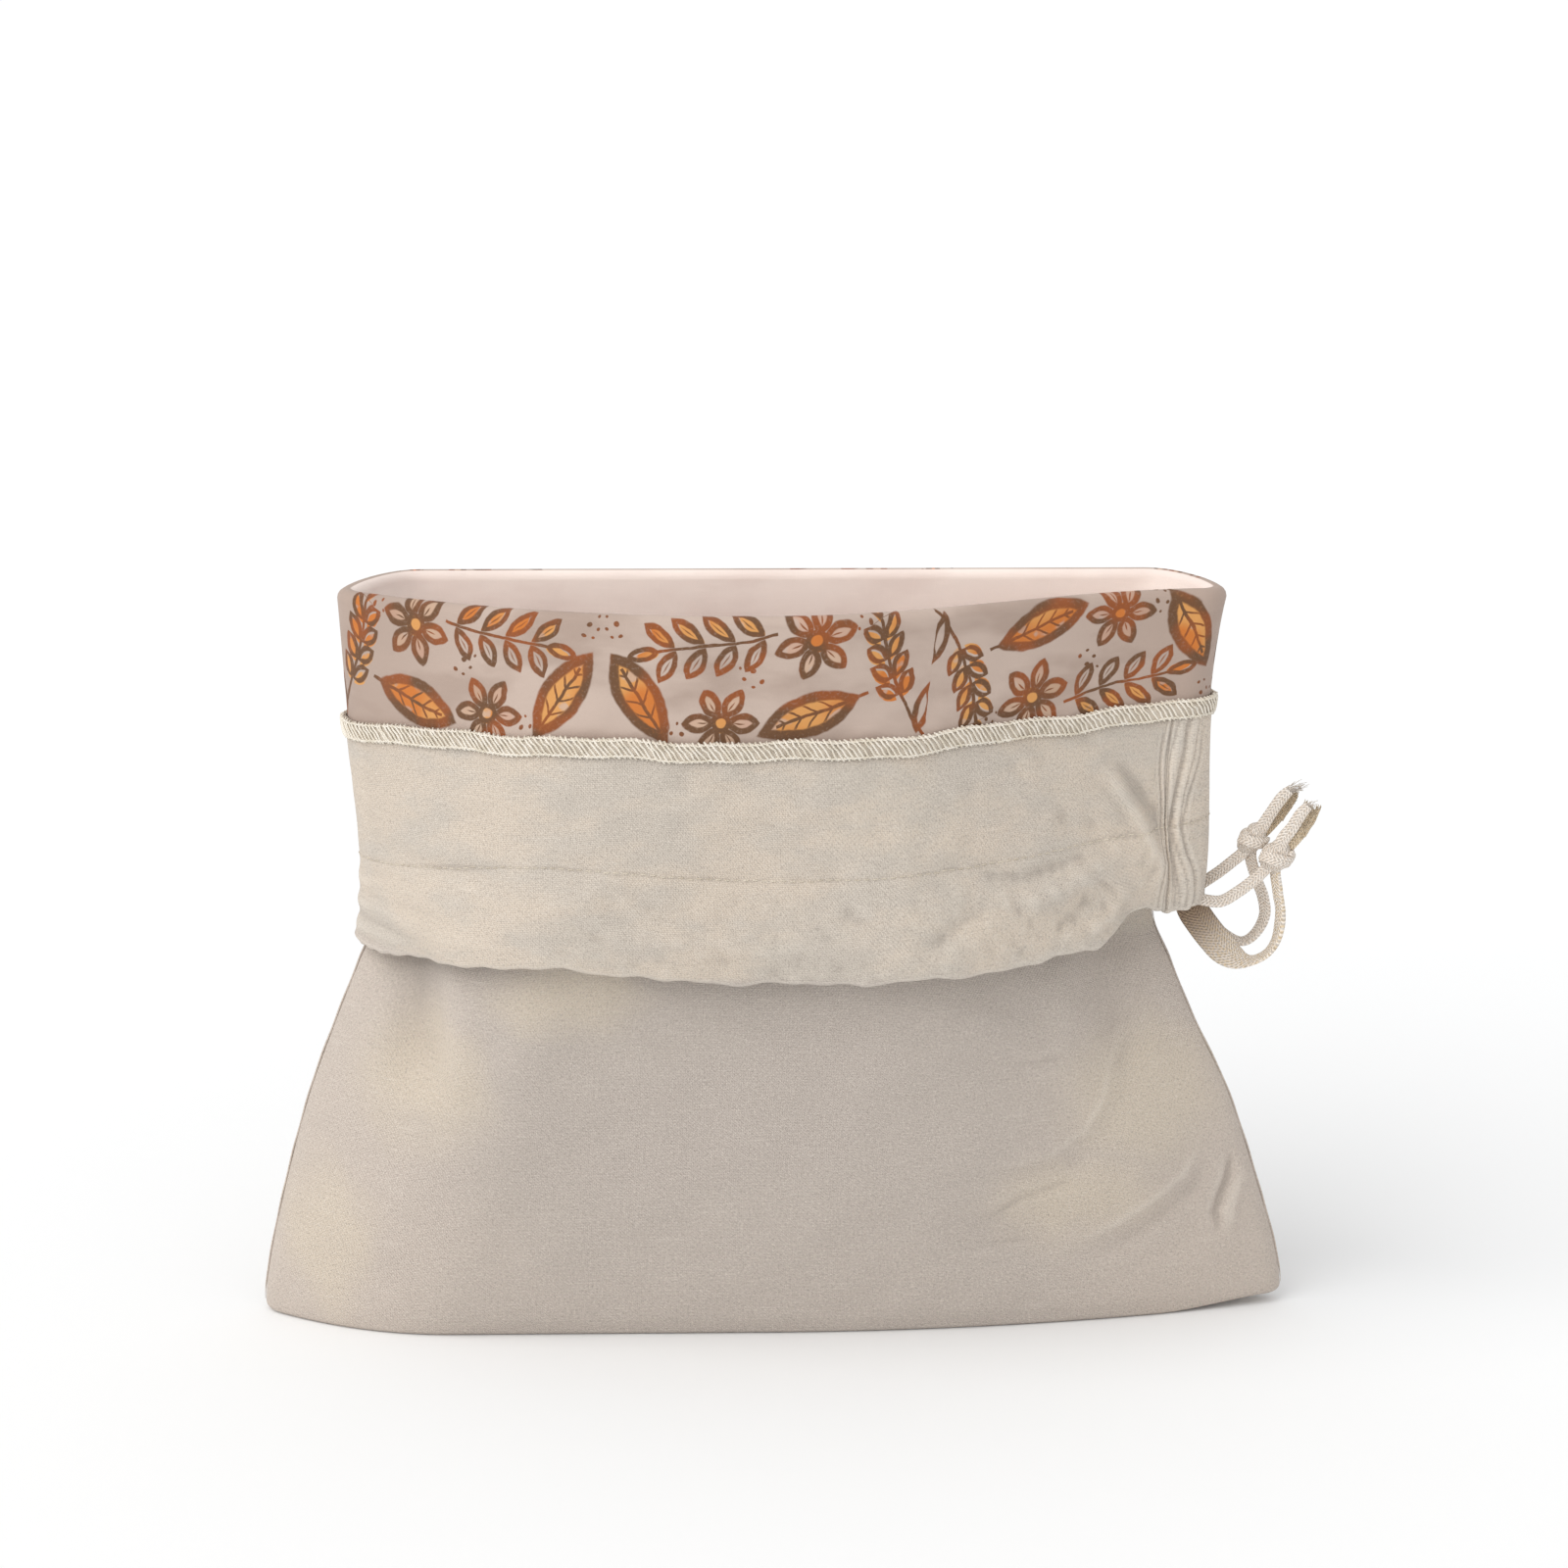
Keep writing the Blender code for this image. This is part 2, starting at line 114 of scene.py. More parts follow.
def makeObject(name, points, faces, corners, material, slot, replaced=()):
    # a piece with its map in metres; it rides on the one body and stands for the plain solids named
    mesh = bpy.data.meshes.new(name)
    mesh.from_pydata(np.asarray(points).tolist(), [], faces)
    layer = mesh.uv_layers.new(name="clothMap")
    layer.data.foreach_set("uv", np.ascontiguousarray(corners, np.float32).ravel())
    mesh.update()
    mesh.shade_smooth()
    mesh.materials.append(material)
    piece = bpy.data.objects.new(name, mesh)
    scene.collection.objects.link(piece)
    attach(piece, "root")
    if replaced:
        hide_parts(*replaced)
    return piece


def tubeFaces(rows, columns, count=1, capped=True):
    # the faces of closed tubes of rows by columns points, then the ends of each
    first = np.arange(count)[:, None, None] * rows * columns
    i, j = np.arange(rows - 1)[None, :, None] * columns, np.arange(columns)[None, None, :]
    k = (j + 1) % columns
    low, high = first + i, first + i + columns
    quads = np.stack([low + j, low + k, high + k, high + j], -1)
    faces = [tuple(quad) for quad in quads.reshape(-1, 4).tolist()]
    for n in range(count if capped else 0):
        ends = [n * rows * columns + s for s in range(columns)]
        faces += [tuple(ends[::-1]), tuple(s + (rows - 1) * columns for s in ends)]
    return faces


def quadCorners(u, v):
    # map corners of the faces between rows and columns of map values
    both = np.stack(np.broadcast_arrays(u, v), -1)
    low, high = both[..., :-1, :, :], both[..., 1:, :, :]
    four = [low[..., :-1, :], low[..., 1:, :], high[..., 1:, :], high[..., :-1, :]]
    return np.stack(four, -2).reshape(-1, 2)


def sweep(centres, wide, thick, widths, thicks, section):
    # a section carried along a line; wide and thick are its two directions at each point
    u, v = section[:, 0], section[:, 1]
    points = (
        centres[:, None, :]
        + wide[:, None, :] * (widths[:, None] * u[None, :])[..., None]
        + thick[:, None, :] * (thicks[:, None] * v[None, :])[..., None]
    ).reshape(-1, 3)
    along = runAlong(centres)
    near = widths[:-1, None] * u
    far = np.roll(near, -1, axis=1)
    low, high = (np.broadcast_to(part[:, None], near.shape) for part in (along[:-1], along[1:]))
    corners = np.stack([low, near, low, far, high, far, high, near], -1).reshape(-1, 2)
    ends = [(0.0, w) for w in widths[0] * u[::-1]] + [(along[-1], w) for w in widths[-1] * u]
    return points, tubeFaces(len(centres), len(u)), np.concatenate([corners, ends])


def threads(lines, radius, sides=5, taper=0.0):
    # many thin round threads; lines is an array of threads by points by 3
    lines = np.asarray(lines, float)
    count, length = lines.shape[:2]
    ahead = unit(np.gradient(lines, axis=1))
    guide = np.where(np.abs(ahead[..., 1:2]) > 0.9, [[[1.0, 0, 0]]], [[[0, 1.0, 0]]])
    side = unit(np.cross(ahead, guide))
    other = np.cross(ahead, side)
    turn = (2 * np.pi * np.arange(sides) / sides)[:, None]
    size = radius * (1 - taper * np.linspace(0, 1, length))[None, :, None, None]
    ring = side[:, :, None, :] * np.cos(turn) + other[:, :, None, :] * np.sin(turn)
    points = (lines[:, :, None, :] + ring * size).reshape(-1, 3)
    along, across = runAlong(lines), np.linspace(0, 1, sides + 1) * radius * 6
    ends = [(run, w) for line in along for run in (0.0, line[-1]) for w in across[:-1]]
    corners = np.concatenate([quadCorners(along[:, :, None], across), ends])
    return points, tubeFaces(length, sides, count), corners


def joined(parts):
    # several swept parts as one set of points, faces and corners
    faces, start = [], 0
    for points, partFaces, _ in parts:
        faces += [tuple(i + start for i in face) for face in partFaces]
        start += len(points)
    return np.concatenate([part[0] for part in parts]), faces, np.concatenate([part[2] for part in parts])


# shader nodes: an output works like a number, and what is done to it makes the nodes
class Wire:
    def __init__(self, socket):
        self.socket = socket
        self.tree = socket.id_data

    __add__ = lambda self, other: calc("ADD", self, other)
    __sub__ = lambda self, other: calc("SUBTRACT", self, other)
    __mul__ = lambda self, other: calc("MULTIPLY", self, other)
    __mod__ = lambda self, other: calc("FLOORED_MODULO", self, other)
    __abs__ = lambda self: calc("ABSOLUTE", self)


def feed(made, inputs):
    for key, value in inputs.items():
        if isinstance(value, Wire):
            value.tree.links.new(value.socket, made.inputs[key])
        else:
            made.inputs[key].default_value = value


def addNode(kind, inputs, output=0, **settings):
    tree = next(value.tree for value in inputs.values() if isinstance(value, Wire))
    made = tree.nodes.new(kind)
    for key, value in settings.items():
        setattr(made, key, value)
    feed(made, inputs)
    return Wire(made.outputs[output])


def calc(operation, *values):
    return addNode("ShaderNodeMath", dict(enumerate(values)), operation=operation)


def vectorCalc(operation, first, second=None, output=0):
    inputs = {0: first} if second is None else {0: first, 1: second}
    return addNode("ShaderNodeVectorMath", inputs, output, operation=operation)


def distance(vector):
    return vectorCalc("LENGTH", vector, output="Value")


def sine(value):
    return calc("SINE", value)


def stripes(value, pitch):
    return sine(value * (2 * math.pi / pitch))


def split(vector, kind="ShaderNodeSeparateXYZ"):
    made = vector.tree.nodes.new(kind)
    feed(made, {0: vector})
    return [Wire(output) for output in made.outputs]


def combine(x, y):
    return addNode("ShaderNodeCombineXYZ", {0: x, 1: y})


def fade(value, low, high, fromValue=0.0, toValue=1.0):
    # smooth step between low and high
    inputs = {"Value": value, "From Min": low, "From Max": high, "To Min": fromValue, "To Max": toValue}
    return addNode("ShaderNodeMapRange", inputs, "Result", interpolation_type="SMOOTHSTEP")


def blend(share, first, second):
    return addNode("ShaderNodeMix", {0: share, 6: first, 7: second}, 2, data_type="RGBA")


def noise(vector, scale, detail=2.0, rough=0.5, output="Fac"):
    inputs = {"Vector": vector, "Scale": scale, "Detail": detail, "Roughness": rough}
    return addNode("ShaderNodeTexNoise", inputs, output)


def stretched(vector, scale, shift=(0, 0, 0)):
    return addNode("ShaderNodeMapping", {"Vector": vector, "Scale": scale, "Location": shift})


def grain(vector, scale, detail=2.0, rough=0.5, shift=(0, 0, 0)):
    return noise(stretched(vector, scale, shift), 1.0, detail, rough)


def jittered(vector, scale, amount):
    # a place moved a little this way and that
    offset = vectorCalc("SUBTRACT", noise(vector, scale, output="Color"), (0.5, 0.5, 0.5))
    drift = addNode("ShaderNodeVectorMath", {0: offset, 3: amount}, operation="SCALE")
    return vectorCalc("ADD", vector, drift)


def bump(height, distance, strength, **more):
    return addNode("ShaderNodeBump", {"Height": height, "Distance": distance, "Strength": strength, **more})


def varied(colour, value):
    return addNode("ShaderNodeHueSaturation", {"Color": colour, "Value": value})


def newGroup(name, inputs, outputs):
    tree = bpy.data.node_groups.new(name, "ShaderNodeTree")
    for socketName, value in inputs.items():
        kind = "NodeSocketVector" if value is None else "NodeSocketFloat"
        socket = tree.interface.new_socket(name=socketName, in_out="INPUT", socket_type=kind)
        if value is not None:
            socket.default_value = value
    for socketName, kind in outputs.items():
        tree.interface.new_socket(name=socketName, in_out="OUTPUT", socket_type=kind)
    start = {output.name: Wire(output) for output in tree.nodes.new("NodeGroupInput").outputs if output.name}
    return start, tree.nodes.new("NodeGroupOutput")


def useGroup(group, inputs):
    made = inputs["Place"].tree.nodes.new("ShaderNodeGroup")
    made.node_tree = group
    feed(made, inputs)
    return {output.name: Wire(output) for output in made.outputs}


def newMaterial(name, rough, specular, sheen=0.0):
    # a material, its shader, and its places on the cloth's map and in the object
    material = bpy.data.materials.new(name)
    material.use_nodes = True
    tree = material.node_tree
    shader = tree.nodes["Principled BSDF"]
    feed(shader, {"Roughness": rough, "Specular IOR Level": specular, "Sheen Weight": sheen})
    mapNode = tree.nodes.new("ShaderNodeUVMap")
    mapNode.uv_map = "clothMap"
    inObject = tree.nodes.new("ShaderNodeTexCoord").outputs["Object"]
    return material, shader, Wire(mapNode.outputs[0]), Wire(inObject)


# woven cloth, shared by the materials: threads, slubs and neps, from a map in metres
def buildWeaveGroup():
    inputs = {"Place": None, "Threads per metre": 1800.0, "Unevenness": 0.5}
    outputs = dict.fromkeys(("Height", "Slubs", "Neps"), "NodeSocketFloat")
    start, end = newGroup("wovenThreads", inputs, outputs)
    cloth = start["Place"]
    across, up = (part * start["Threads per metre"] for part in split(jittered(cloth, 90.0, 0.0011))[:2])
    warp, weft = (abs(sine(part * math.pi)) for part in (across, up))
    over = (calc("FLOOR", across) + calc("FLOOR", up)) % 2.0
    woven = addNode("ShaderNodeMix", {0: over, 2: warp, 3: weft}, data_type="FLOAT")
    slubAcross = grain(cloth, (60, 900, 1), 2.0, 0.6)
    slubUp = grain(cloth, (1100, 70, 1), 2.0, 0.6, (3, 7, 0))
    slubs = fade(slubAcross, 0.55, 0.75) + fade(slubUp, 0.58, 0.78)
    inputs = {"Vector": stretched(cloth, (260, 330, 1)), "Scale": 1.0}
    neps = fade(addNode("ShaderNodeTexVoronoi", inputs, "Distance"), 0.03, 0.11, 1.0, 0.0)
    rare = fade(noise(cloth, 140.0, 1.0), 0.56, 0.62)
    feed(end, {"Height": woven + slubs * start["Unevenness"], "Slubs": slubs, "Neps": neps * rare})
    return end.id_data


weaveGroup = buildWeaveGroup()


def weaveAt(cloth, threadsPerMetre, uneven):
    return useGroup(weaveGroup, {"Place": cloth, "Threads per metre": threadsPerMetre, "Unevenness": uneven})


naturalCotton = {
    "cuffWarm": tone(218, 204, 188),
    "cuffCool": tone(207, 197, 185),
    "bodyShadedMiddle": tone(198, 187, 178),
    "bodySide": tone(206, 193, 182),
    "bodyLitPatch": tone(217, 203, 184),
    "pale": tone(236, 227, 215),
    "dark": tone(154, 143, 134),
    # patches of painted light on the wall, lighter and warmer: x, z, half width and half height
    "paintedLightPatches": [
        (-0.128, 0.104, 0.026, 0.030),
        (-0.166, 0.036, 0.018, 0.036),
        (0.138, 0.092, 0.034, 0.034),
        (0.112, 0.052, 0.036, 0.022),
        (-0.075, 0.140, 0.030, 0.014),
    ],
    "threads": 1500.0,
    "cuffFrom": 0.149,
    "cuffBlend": 0.004,
}


def clothMaterial(name, cloth):
    material, shader, place, spot = newMaterial(name, 0.9, 0.15, 0.1)
    weave = weaveAt(place, cloth["threads"], 0.6)
    pale, dark = cloth["pale"], cloth["dark"]
    x, _, z = split(spot)
    cuffEdge = cloth["cuffFrom"], cloth["cuffFrom"] + cloth["cuffBlend"]
    # the facing is creamier than the wall; the wall's greyer middle is painted shade
    clouds = fade(grain(spot, (22, 22, 44), 4.0, 0.6), 0.40, 0.62)
    facing = blend(clouds, cloth["cuffWarm"], cloth["cuffCool"])
    aside = abs(x + (noise(spot, 9.0) - 0.5) * 0.12)
    wall = blend(fade(aside, 0.08, 0.17), cloth["bodyShadedMiddle"], cloth["bodySide"])
    # painted light: lighter, warmer patches where light falls on the wall's bulges
    wander = (noise(spot, 30.0) - 0.5) * 0.03
    spotX, spotZ = x + wander, z + wander
    litPatches = 0.0
    for patchX, patchZ, width, height in cloth["paintedLightPatches"]:
        aside = calc("MULTIPLY_ADD", spotX, 1 / width, -patchX / width)
        above = calc("MULTIPLY_ADD", spotZ, 1 / height, -patchZ / height)
        litPatches = calc("MAXIMUM", fade(distance(combine(aside, above)), 0.3, 1.25, 0.75, 0.0), litPatches)
    base = blend(fade(z, *cuffEdge), blend(litPatches, wall, cloth["bodyLitPatch"]), facing)
    # grain: pale flecks, darker gaps, slubs and neps
    flecks = grain(place, (900, 1300, 1), 2.0, 0.8)
    base = blend(fade(flecks, 0.47, 0.66) * 0.40, base, pale)
    gaps = grain(place, (1300, 900, 1), 2.0, 0.8, (5, 3, 0))
    base = blend(fade(gaps, 0.49, 0.68) * 0.46, base, dark)
    base = blend(weave["Slubs"] * 0.20, base, pale)
    base = blend(weave["Neps"] * 0.55, base, pale)
    foldShadeNode = spot.tree.nodes.new("ShaderNodeAttribute")
    foldShadeNode.attribute_name = "foldShadeAndHighlight"
    foldShadeAndHighlight = Wire(foldShadeNode.outputs["Fac"])
    # painted shade in the creases' hollows and painted highlight on ridges and fold edges
    base = blend(fade(foldShadeAndHighlight, -0.9, -0.04, 0.36, 0.0), base, dark)
    base = blend(fade(foldShadeAndHighlight, 0.05, 0.9, 0.0, 0.30), base, pale)
    amount = fade(z, *cuffEdge, 0.0006, 0.0013)
    soft = bump(grain(spot, (80, 80, 110), 3.0, 0.6) * amount, 1.0, 0.6)
    fine = bump(weave["Height"], 0.0003, 0.7, Normal=soft)
    rough = fade(weave["Height"], 0.0, 1.6, 0.95, 0.82)
    feed(shader, {"Base Color": base, "Roughness": rough, "Normal": fine})
    return material


cottonMaterial = clothMaterial("natural_cotton_cloth", naturalCotton)
print("cotton material made")


# woven tape: slanted ribs across a map of metres along and across the tape
tapeWeave = {"ribPitch": 0.0014, "cordPitch": 0.0011, "ribShare": 0.7, "cordShare": 0.3}


def tapeMaterial(name, pale, deep, shadeLength=0.0, shadedStart=None):
    # the last two arguments give painted shade: a darker colour at the tape's start, where the bag shades
    # it, gone by the given length
    material, shader, place = newMaterial(name, 0.85, 0.2, 0.15)[:3]
    along, across = split(place)[:2]
    ribs = stripes(along + abs(across), tapeWeave["ribPitch"])
    cords = stripes(across, tapeWeave["cordPitch"])
    height = ribs * tapeWeave["ribShare"] + cords * tapeWeave["cordShare"]
    uneven = grain(place, (900, 1500, 1), 3.0, 0.65)
    base = blend(fade(uneven, 0.4, 0.66), pale, deep)
    # painted shade on the tape's start, near the bag's channel
    if shadedStart:
        base = blend(fade(along, 0.0, shadeLength), blend(fade(uneven, 0.4, 1.0), shadedStart, deep), base)
    # painted shade: the colour is darker in the grooves between the ribs
    base = varied(base, fade(height, -1.0, 0.4, 0.60, 1.0))
    feed(shader, {"Base Color": base, "Normal": bump(height + uneven, 0.0003, 0.8)})
    return material


tapePale, tapeDeep = tone(255, 246, 236), tone(236, 219, 201)
lightTape = tapeMaterial("light_cotton_tape", tapePale, tapeDeep)
# the wide tape's start is painted darker, as the shade of the bag over it
wideTape = tapeMaterial("wide_cotton_tape", tapePale, tone(236, 213, 178), 0.036, tone(146, 118, 95))
# a darker, browner copy of the tape colour: painted shade for the tails behind the light ends
shadedThreads = tapeMaterial("frayed_threads_painted_shade", tone(250, 232, 204), tone(220, 194, 158))

# the tie: four tapes from the channel through two knots to their cut ends
# each stop is x, y, z, turn in degrees, width and thickness where it isn't folded, in metres
folded = (0.0045, 0.0024)
flat = (0.012, 0.0012)
tieTapes = {
    "tape_upper": {
        "stops": [
            (0.1575, 0.0024, 0.1652, 70),
            (0.1625, 0.0020, 0.1686, 70),
            (0.1670, 0.0015, 0.1720, 70),
            (0.1716, 0.0010, 0.1760, 70),
            (0.1746, 0.0005, 0.1788, 70),
            (0.1788, 0.0008, 0.1840, 74, 0.0046, 0.0022),
            (0.1818, -0.0008, 0.1894, 80, 0.0050, 0.0026),
            (0.1850, -0.0014, 0.1950, 84, 0.0046, 0.0026),
            (0.1886, -0.0018, 0.2006, 84, 0.0046, 0.0022),
            (0.1915, -0.0016, 0.2034, 80, 0.0038, 0.0018),
        ],
        "replaces": ("tie_strand_upper", "tie_end_upper_light"),
        "diameter": 0.0045,
        "material": lightTape,
    },
    "tape_lower": {
        "stops": [
            (0.1560, -0.0074, 0.1640, 60),
            (0.1606, -0.0080, 0.1629, 60),
            (0.1666, -0.0078, 0.1626, 60),
            (0.1734, -0.0070, 0.1664, 65),
            (0.1790, -0.0060, 0.1706, 70),
            (0.1824, -0.0053, 0.1737, 70),
            (0.1866, -0.0056, 0.1788, 74, 0.0046, 0.0022),
            (0.1888, -0.0072, 0.1858, 80, 0.0052, 0.0026),
            (0.1922, -0.0074, 0.1906, 84, 0.0048, 0.0026),
            (0.1952, -0.0076, 0.1958, 84, 0.0046, 0.0022),
            (0.1980, -0.0072, 0.1988, 78, 0.0036, 0.0018),
        ],
        "replaces": ("tie_strand_lower", "tie_end_lower_light"),
        "diameter": 0.0045,
        "material": lightTape,
    },
    "tape_back": {
        "stops": [
            (0.1576, 0.0070, 0.1628, 0),
            (0.1592, 0.0080, 0.1576, 5),
            (0.1639, 0.0084, 0.1522, 10),
            (0.1694, 0.0080, 0.1462, 15),
            (0.1758, 0.0070, 0.1430, 20),
            (0.1810, 0.0060, 0.1464, 30),
            (0.1841, 0.0045, 0.1537, 50),
            (0.1832, 0.0035, 0.1612, 60),
            (0.1806, 0.0030, 0.1680, 60),
            (0.1780, 0.0020, 0.1779, 60),
            (0.1796, 0.0020, 0.1840, 60, 0.0046, 0.0020),
            (0.1837, 0.0024, 0.1885, 60, 0.0050, 0.0014),
        ],
        "replaces": ("tie_strand_back", "tie_end_upper_shaded"),
        "diameter": 0.0045,
        "material": lightTape,
    },
    "tape_wide": {
        "stops": [
            (0.1550, -0.0030, 0.1636, 86, *flat),
            (0.1562, -0.0032, 0.1586, 86, *flat),
            (0.1594, -0.0036, 0.1536, 84, *flat),
            (0.1638, -0.0042, 0.1479, 82, *flat),
            (0.1682, -0.0046, 0.1432, 74, *flat),
            (0.1728, -0.0048, 0.1400, 46, 0.0106, 0.0013),
            (0.1784, -0.0050, 0.1388, 8, 0.0088, 0.0015),
            (0.1838, -0.0050, 0.1412, 2, 0.0080, 0.0018),
            (0.1872, -0.0050, 0.1460, 8, 0.0070, 0.0023),
            (0.1886, -0.0050, 0.1523, 20, 0.0058, 0.0027),
            (0.1887, -0.0048, 0.1590, 34),
            (0.1878, -0.0046, 0.1655, 40),
            (0.1868, -0.0044, 0.1722, 40),
            (0.1874, -0.0040, 0.1788, 44, 0.0046, 0.0020),
            (0.1917, -0.0031, 0.1827, 50, 0.0050, 0.0014),
        ],
        "replaces": ("tie_strand_wide", "tie_end_lower_shaded"),
        "diameter": 0.012,
        "material": wideTape,
    },
}


def tapeSection(steps=20):
    # rounded flat section with a shallow dent along one edge, where the folded tape opens
    turn = 2 * np.pi * np.arange(steps) / steps
    u = 0.5 * np.sign(np.cos(turn)) * np.abs(np.cos(turn)) ** 0.7
    v = 0.5 * np.sign(np.sin(turn)) * np.abs(np.sin(turn)) ** 0.6
    u = u - 0.06 * bell(v / 0.18) * (np.cos(turn) > 0)
    return np.stack([u, v * (1 - 0.16 * bell(u / 0.2))], 1)


def tapeFrames(stops, step):
    stops = np.array(stops, float)
    ticks = []
    for i, span in enumerate(np.linalg.norm(np.diff(stops[:, :3], axis=0), axis=1)):
        pieces = max(2, round(span / step))
        ticks += list(i + np.arange(pieces) / pieces)
    route = readTable(np.arange(len(stops)), stops, np.array(ticks + [len(stops) - 1.0]))
    centres = route[:, :3]
    ahead = unit(np.gradient(centres, axis=0))
    side = square(np.array([[0, 1.0, 0]]), ahead)
    turn = np.radians(route[:, 3])[:, None]
    wide = side * np.cos(turn) + np.cross(ahead, side) * np.sin(turn)
    return centres, wide, np.cross(ahead, wide), route[:, 4], route[:, 5]


def addTapes():
    made = {}
    for name, tape in tieTapes.items():
        stops = [stop if len(stop) == 6 else (*stop, *folded) for stop in tape["stops"]]
        centres, wide, thick, widths, thicks = tapeFrames(stops, 0.0006)
        along = runAlong(centres)
        rng = np.random.default_rng(len(name))
        sway = np.interp(along, np.arange(0, 0.2, 0.006), rng.normal(0, 0.00012, 34))
        centres = centres + thick * sway[:, None]
        swept = sweep(centres, wide, thick, widths, thicks, tapeSection())
        piece = makeObject(name, *swept, tape["material"], "cotton_tape", tape["replaces"])
        made[name] = (piece, centres, float(along[-1]))
    return made


tapes = addTapes()
print("tie tapes made:", ", ".join(f"{n} {made[2] * 1000:.0f} mm" for n, made in tapes.items()))

# the knots: beads of wound tape with a wrap across the front, leaning in the plane of the front
tieKnots = {
    "knot_upper": {
        "middle": (0.1784, 0.0008, 0.1846),
        "size": (0.0100, 0.0092, 0.0128),
        "lean": 40.0,
        "wraps": 2.4,
        "crossing": [(-152, -8, 0.0046, 0.46)],
        "replaces": "tie_knot_upper",
    },
    "knot_lower": {
        "middle": (0.1866, -0.0044, 0.1790),
        "size": (0.0114, 0.0096, 0.0128),
        "lean": 34.0,
        "wraps": 2.0,
        "crossing": [(-160, 10, 0.0050, 0.40), (-40, 130, 0.0036, -0.75)],
        "replaces": "tie_knot_lower",
    },
}
knotTapeThickness = 0.0024


def knotAxes(knot):
    lean = math.radians(knot["lean"])
    return np.array([math.cos(lean), 0, -math.sin(lean)]), np.array([math.sin(lean), 0, math.cos(lean)])


def knotBead(knot):
    across, axis = knotAxes(knot)
    sizeX, sizeY, sizeZ = knot["size"]
    rows, columns, pitch = 40, 48, 0.0006
    t = np.linspace(0, 1, rows)[:, None]
    phi = (2 * np.pi * np.arange(columns) / columns)[None, :]
    groove = 1 - np.abs(np.sin((phi + 2 * np.pi * knot["wraps"] * t) / 2)) ** 0.5
    radius = np.sin(np.pi * (0.07 + 0.86 * t)) ** 0.62 * (1 - 0.24 * groove)
    out = across * (np.cos(phi) * radius * sizeX / 2)[..., None]
    out = out + np.array([0, 1.0, 0]) * (np.sin(phi) * radius * sizeY / 2)[..., None]
    points = np.array(knot["middle"]) + out + axis * ((t - 0.5) * sizeZ + 0 * phi)[..., None]
    u = np.arange(columns + 1) * pitch
    corners = quadCorners(u, np.arange(rows)[:, None] * sizeZ / rows + u / 3)
    corners = np.concatenate([corners, np.zeros((2 * columns, 2))])
    return points.reshape(-1, 3), tubeFaces(rows, columns), corners


def crossingWrap(knot, startTurn, endTurn, width, rise):
    # a flattened wrap over the bead's front, from low on one side to high on the other
    across, axis = knotAxes(knot)
    sizeX, sizeY, sizeZ = knot["size"]
    t = np.linspace(0, 1, 30)
    phase = np.radians(startTurn + (endTurn - startTurn) * t)
    up = (t - 0.5) * rise
    sink = 0.86 + 0.20 * np.sin(np.pi * t) ** 0.6
    bulge = np.sqrt(np.maximum(0.05, 1 - (up / 0.66) ** 2)) * sink
    out = across[None] * (np.cos(phase) * sizeX / 2 * bulge)[:, None]
    out[:, 1] += np.sin(phase) * sizeY / 2 * bulge
    centres = np.array(knot["middle"])[None] + out + axis[None] * (up * sizeZ)[:, None]
    ahead = unit(np.gradient(centres, axis=0))
    radial = square(out, ahead)
    widths = width * (0.75 + 0.25 * np.sin(np.pi * t))
    thicks = np.full(len(t), knotTapeThickness)
    return sweep(centres, np.cross(radial, ahead), radial, widths, thicks, tapeSection(16))


def addKnots():
    made = {}
    for name, knot in tieKnots.items():
        wraps = [crossingWrap(knot, *crossing) for crossing in knot["crossing"]]
        parts = joined([knotBead(knot)] + wraps)
        made[name] = makeObject(name, *parts, lightTape, "cotton_tape", [knot["replaces"]])
    return made


knots = addKnots()

# frayed ends: stubs of tape behind the light ends, in a browner, darker copy of the tape's colour that
# paints their shade, with loose threads at every cut
frayedEnds = {
    # start, middle and end of each stub's middle line, and its width
    "brushes": [
        ((0.1818, 0.0006, 0.1852), (0.1892, 0.0012, 0.1930), (0.1926, 0.0016, 0.2012), 0.0052),
        ((0.1894, -0.0052, 0.1804), (0.1968, -0.0046, 0.1886), (0.1992, -0.0040, 0.1972), 0.0070),
    ],
    # where each set of wisps starts, how far it reaches, its width and its number of threads
    "wisps": [
        ((0.1916, -0.0012, 0.2032), (0.0094, 0.0004, 0.0036), 0.0032, 30),
        ((0.1982, -0.0068, 0.1986), (0.0056, 0.0004, 0.0020), 0.0032, 22),
        ((0.1926, 0.0012, 0.2004), (0.0016, 0.0003, 0.0030), 0.0048, 20),
        ((0.1992, -0.0042, 0.1964), (0.0012, 0.0003, 0.0026), 0.0060, 22),
    ],
    "threadRadius": 0.00026,
    "tipThreads": 46,
    "thickness": 0.0016,
    "stubSteps": 24,
}


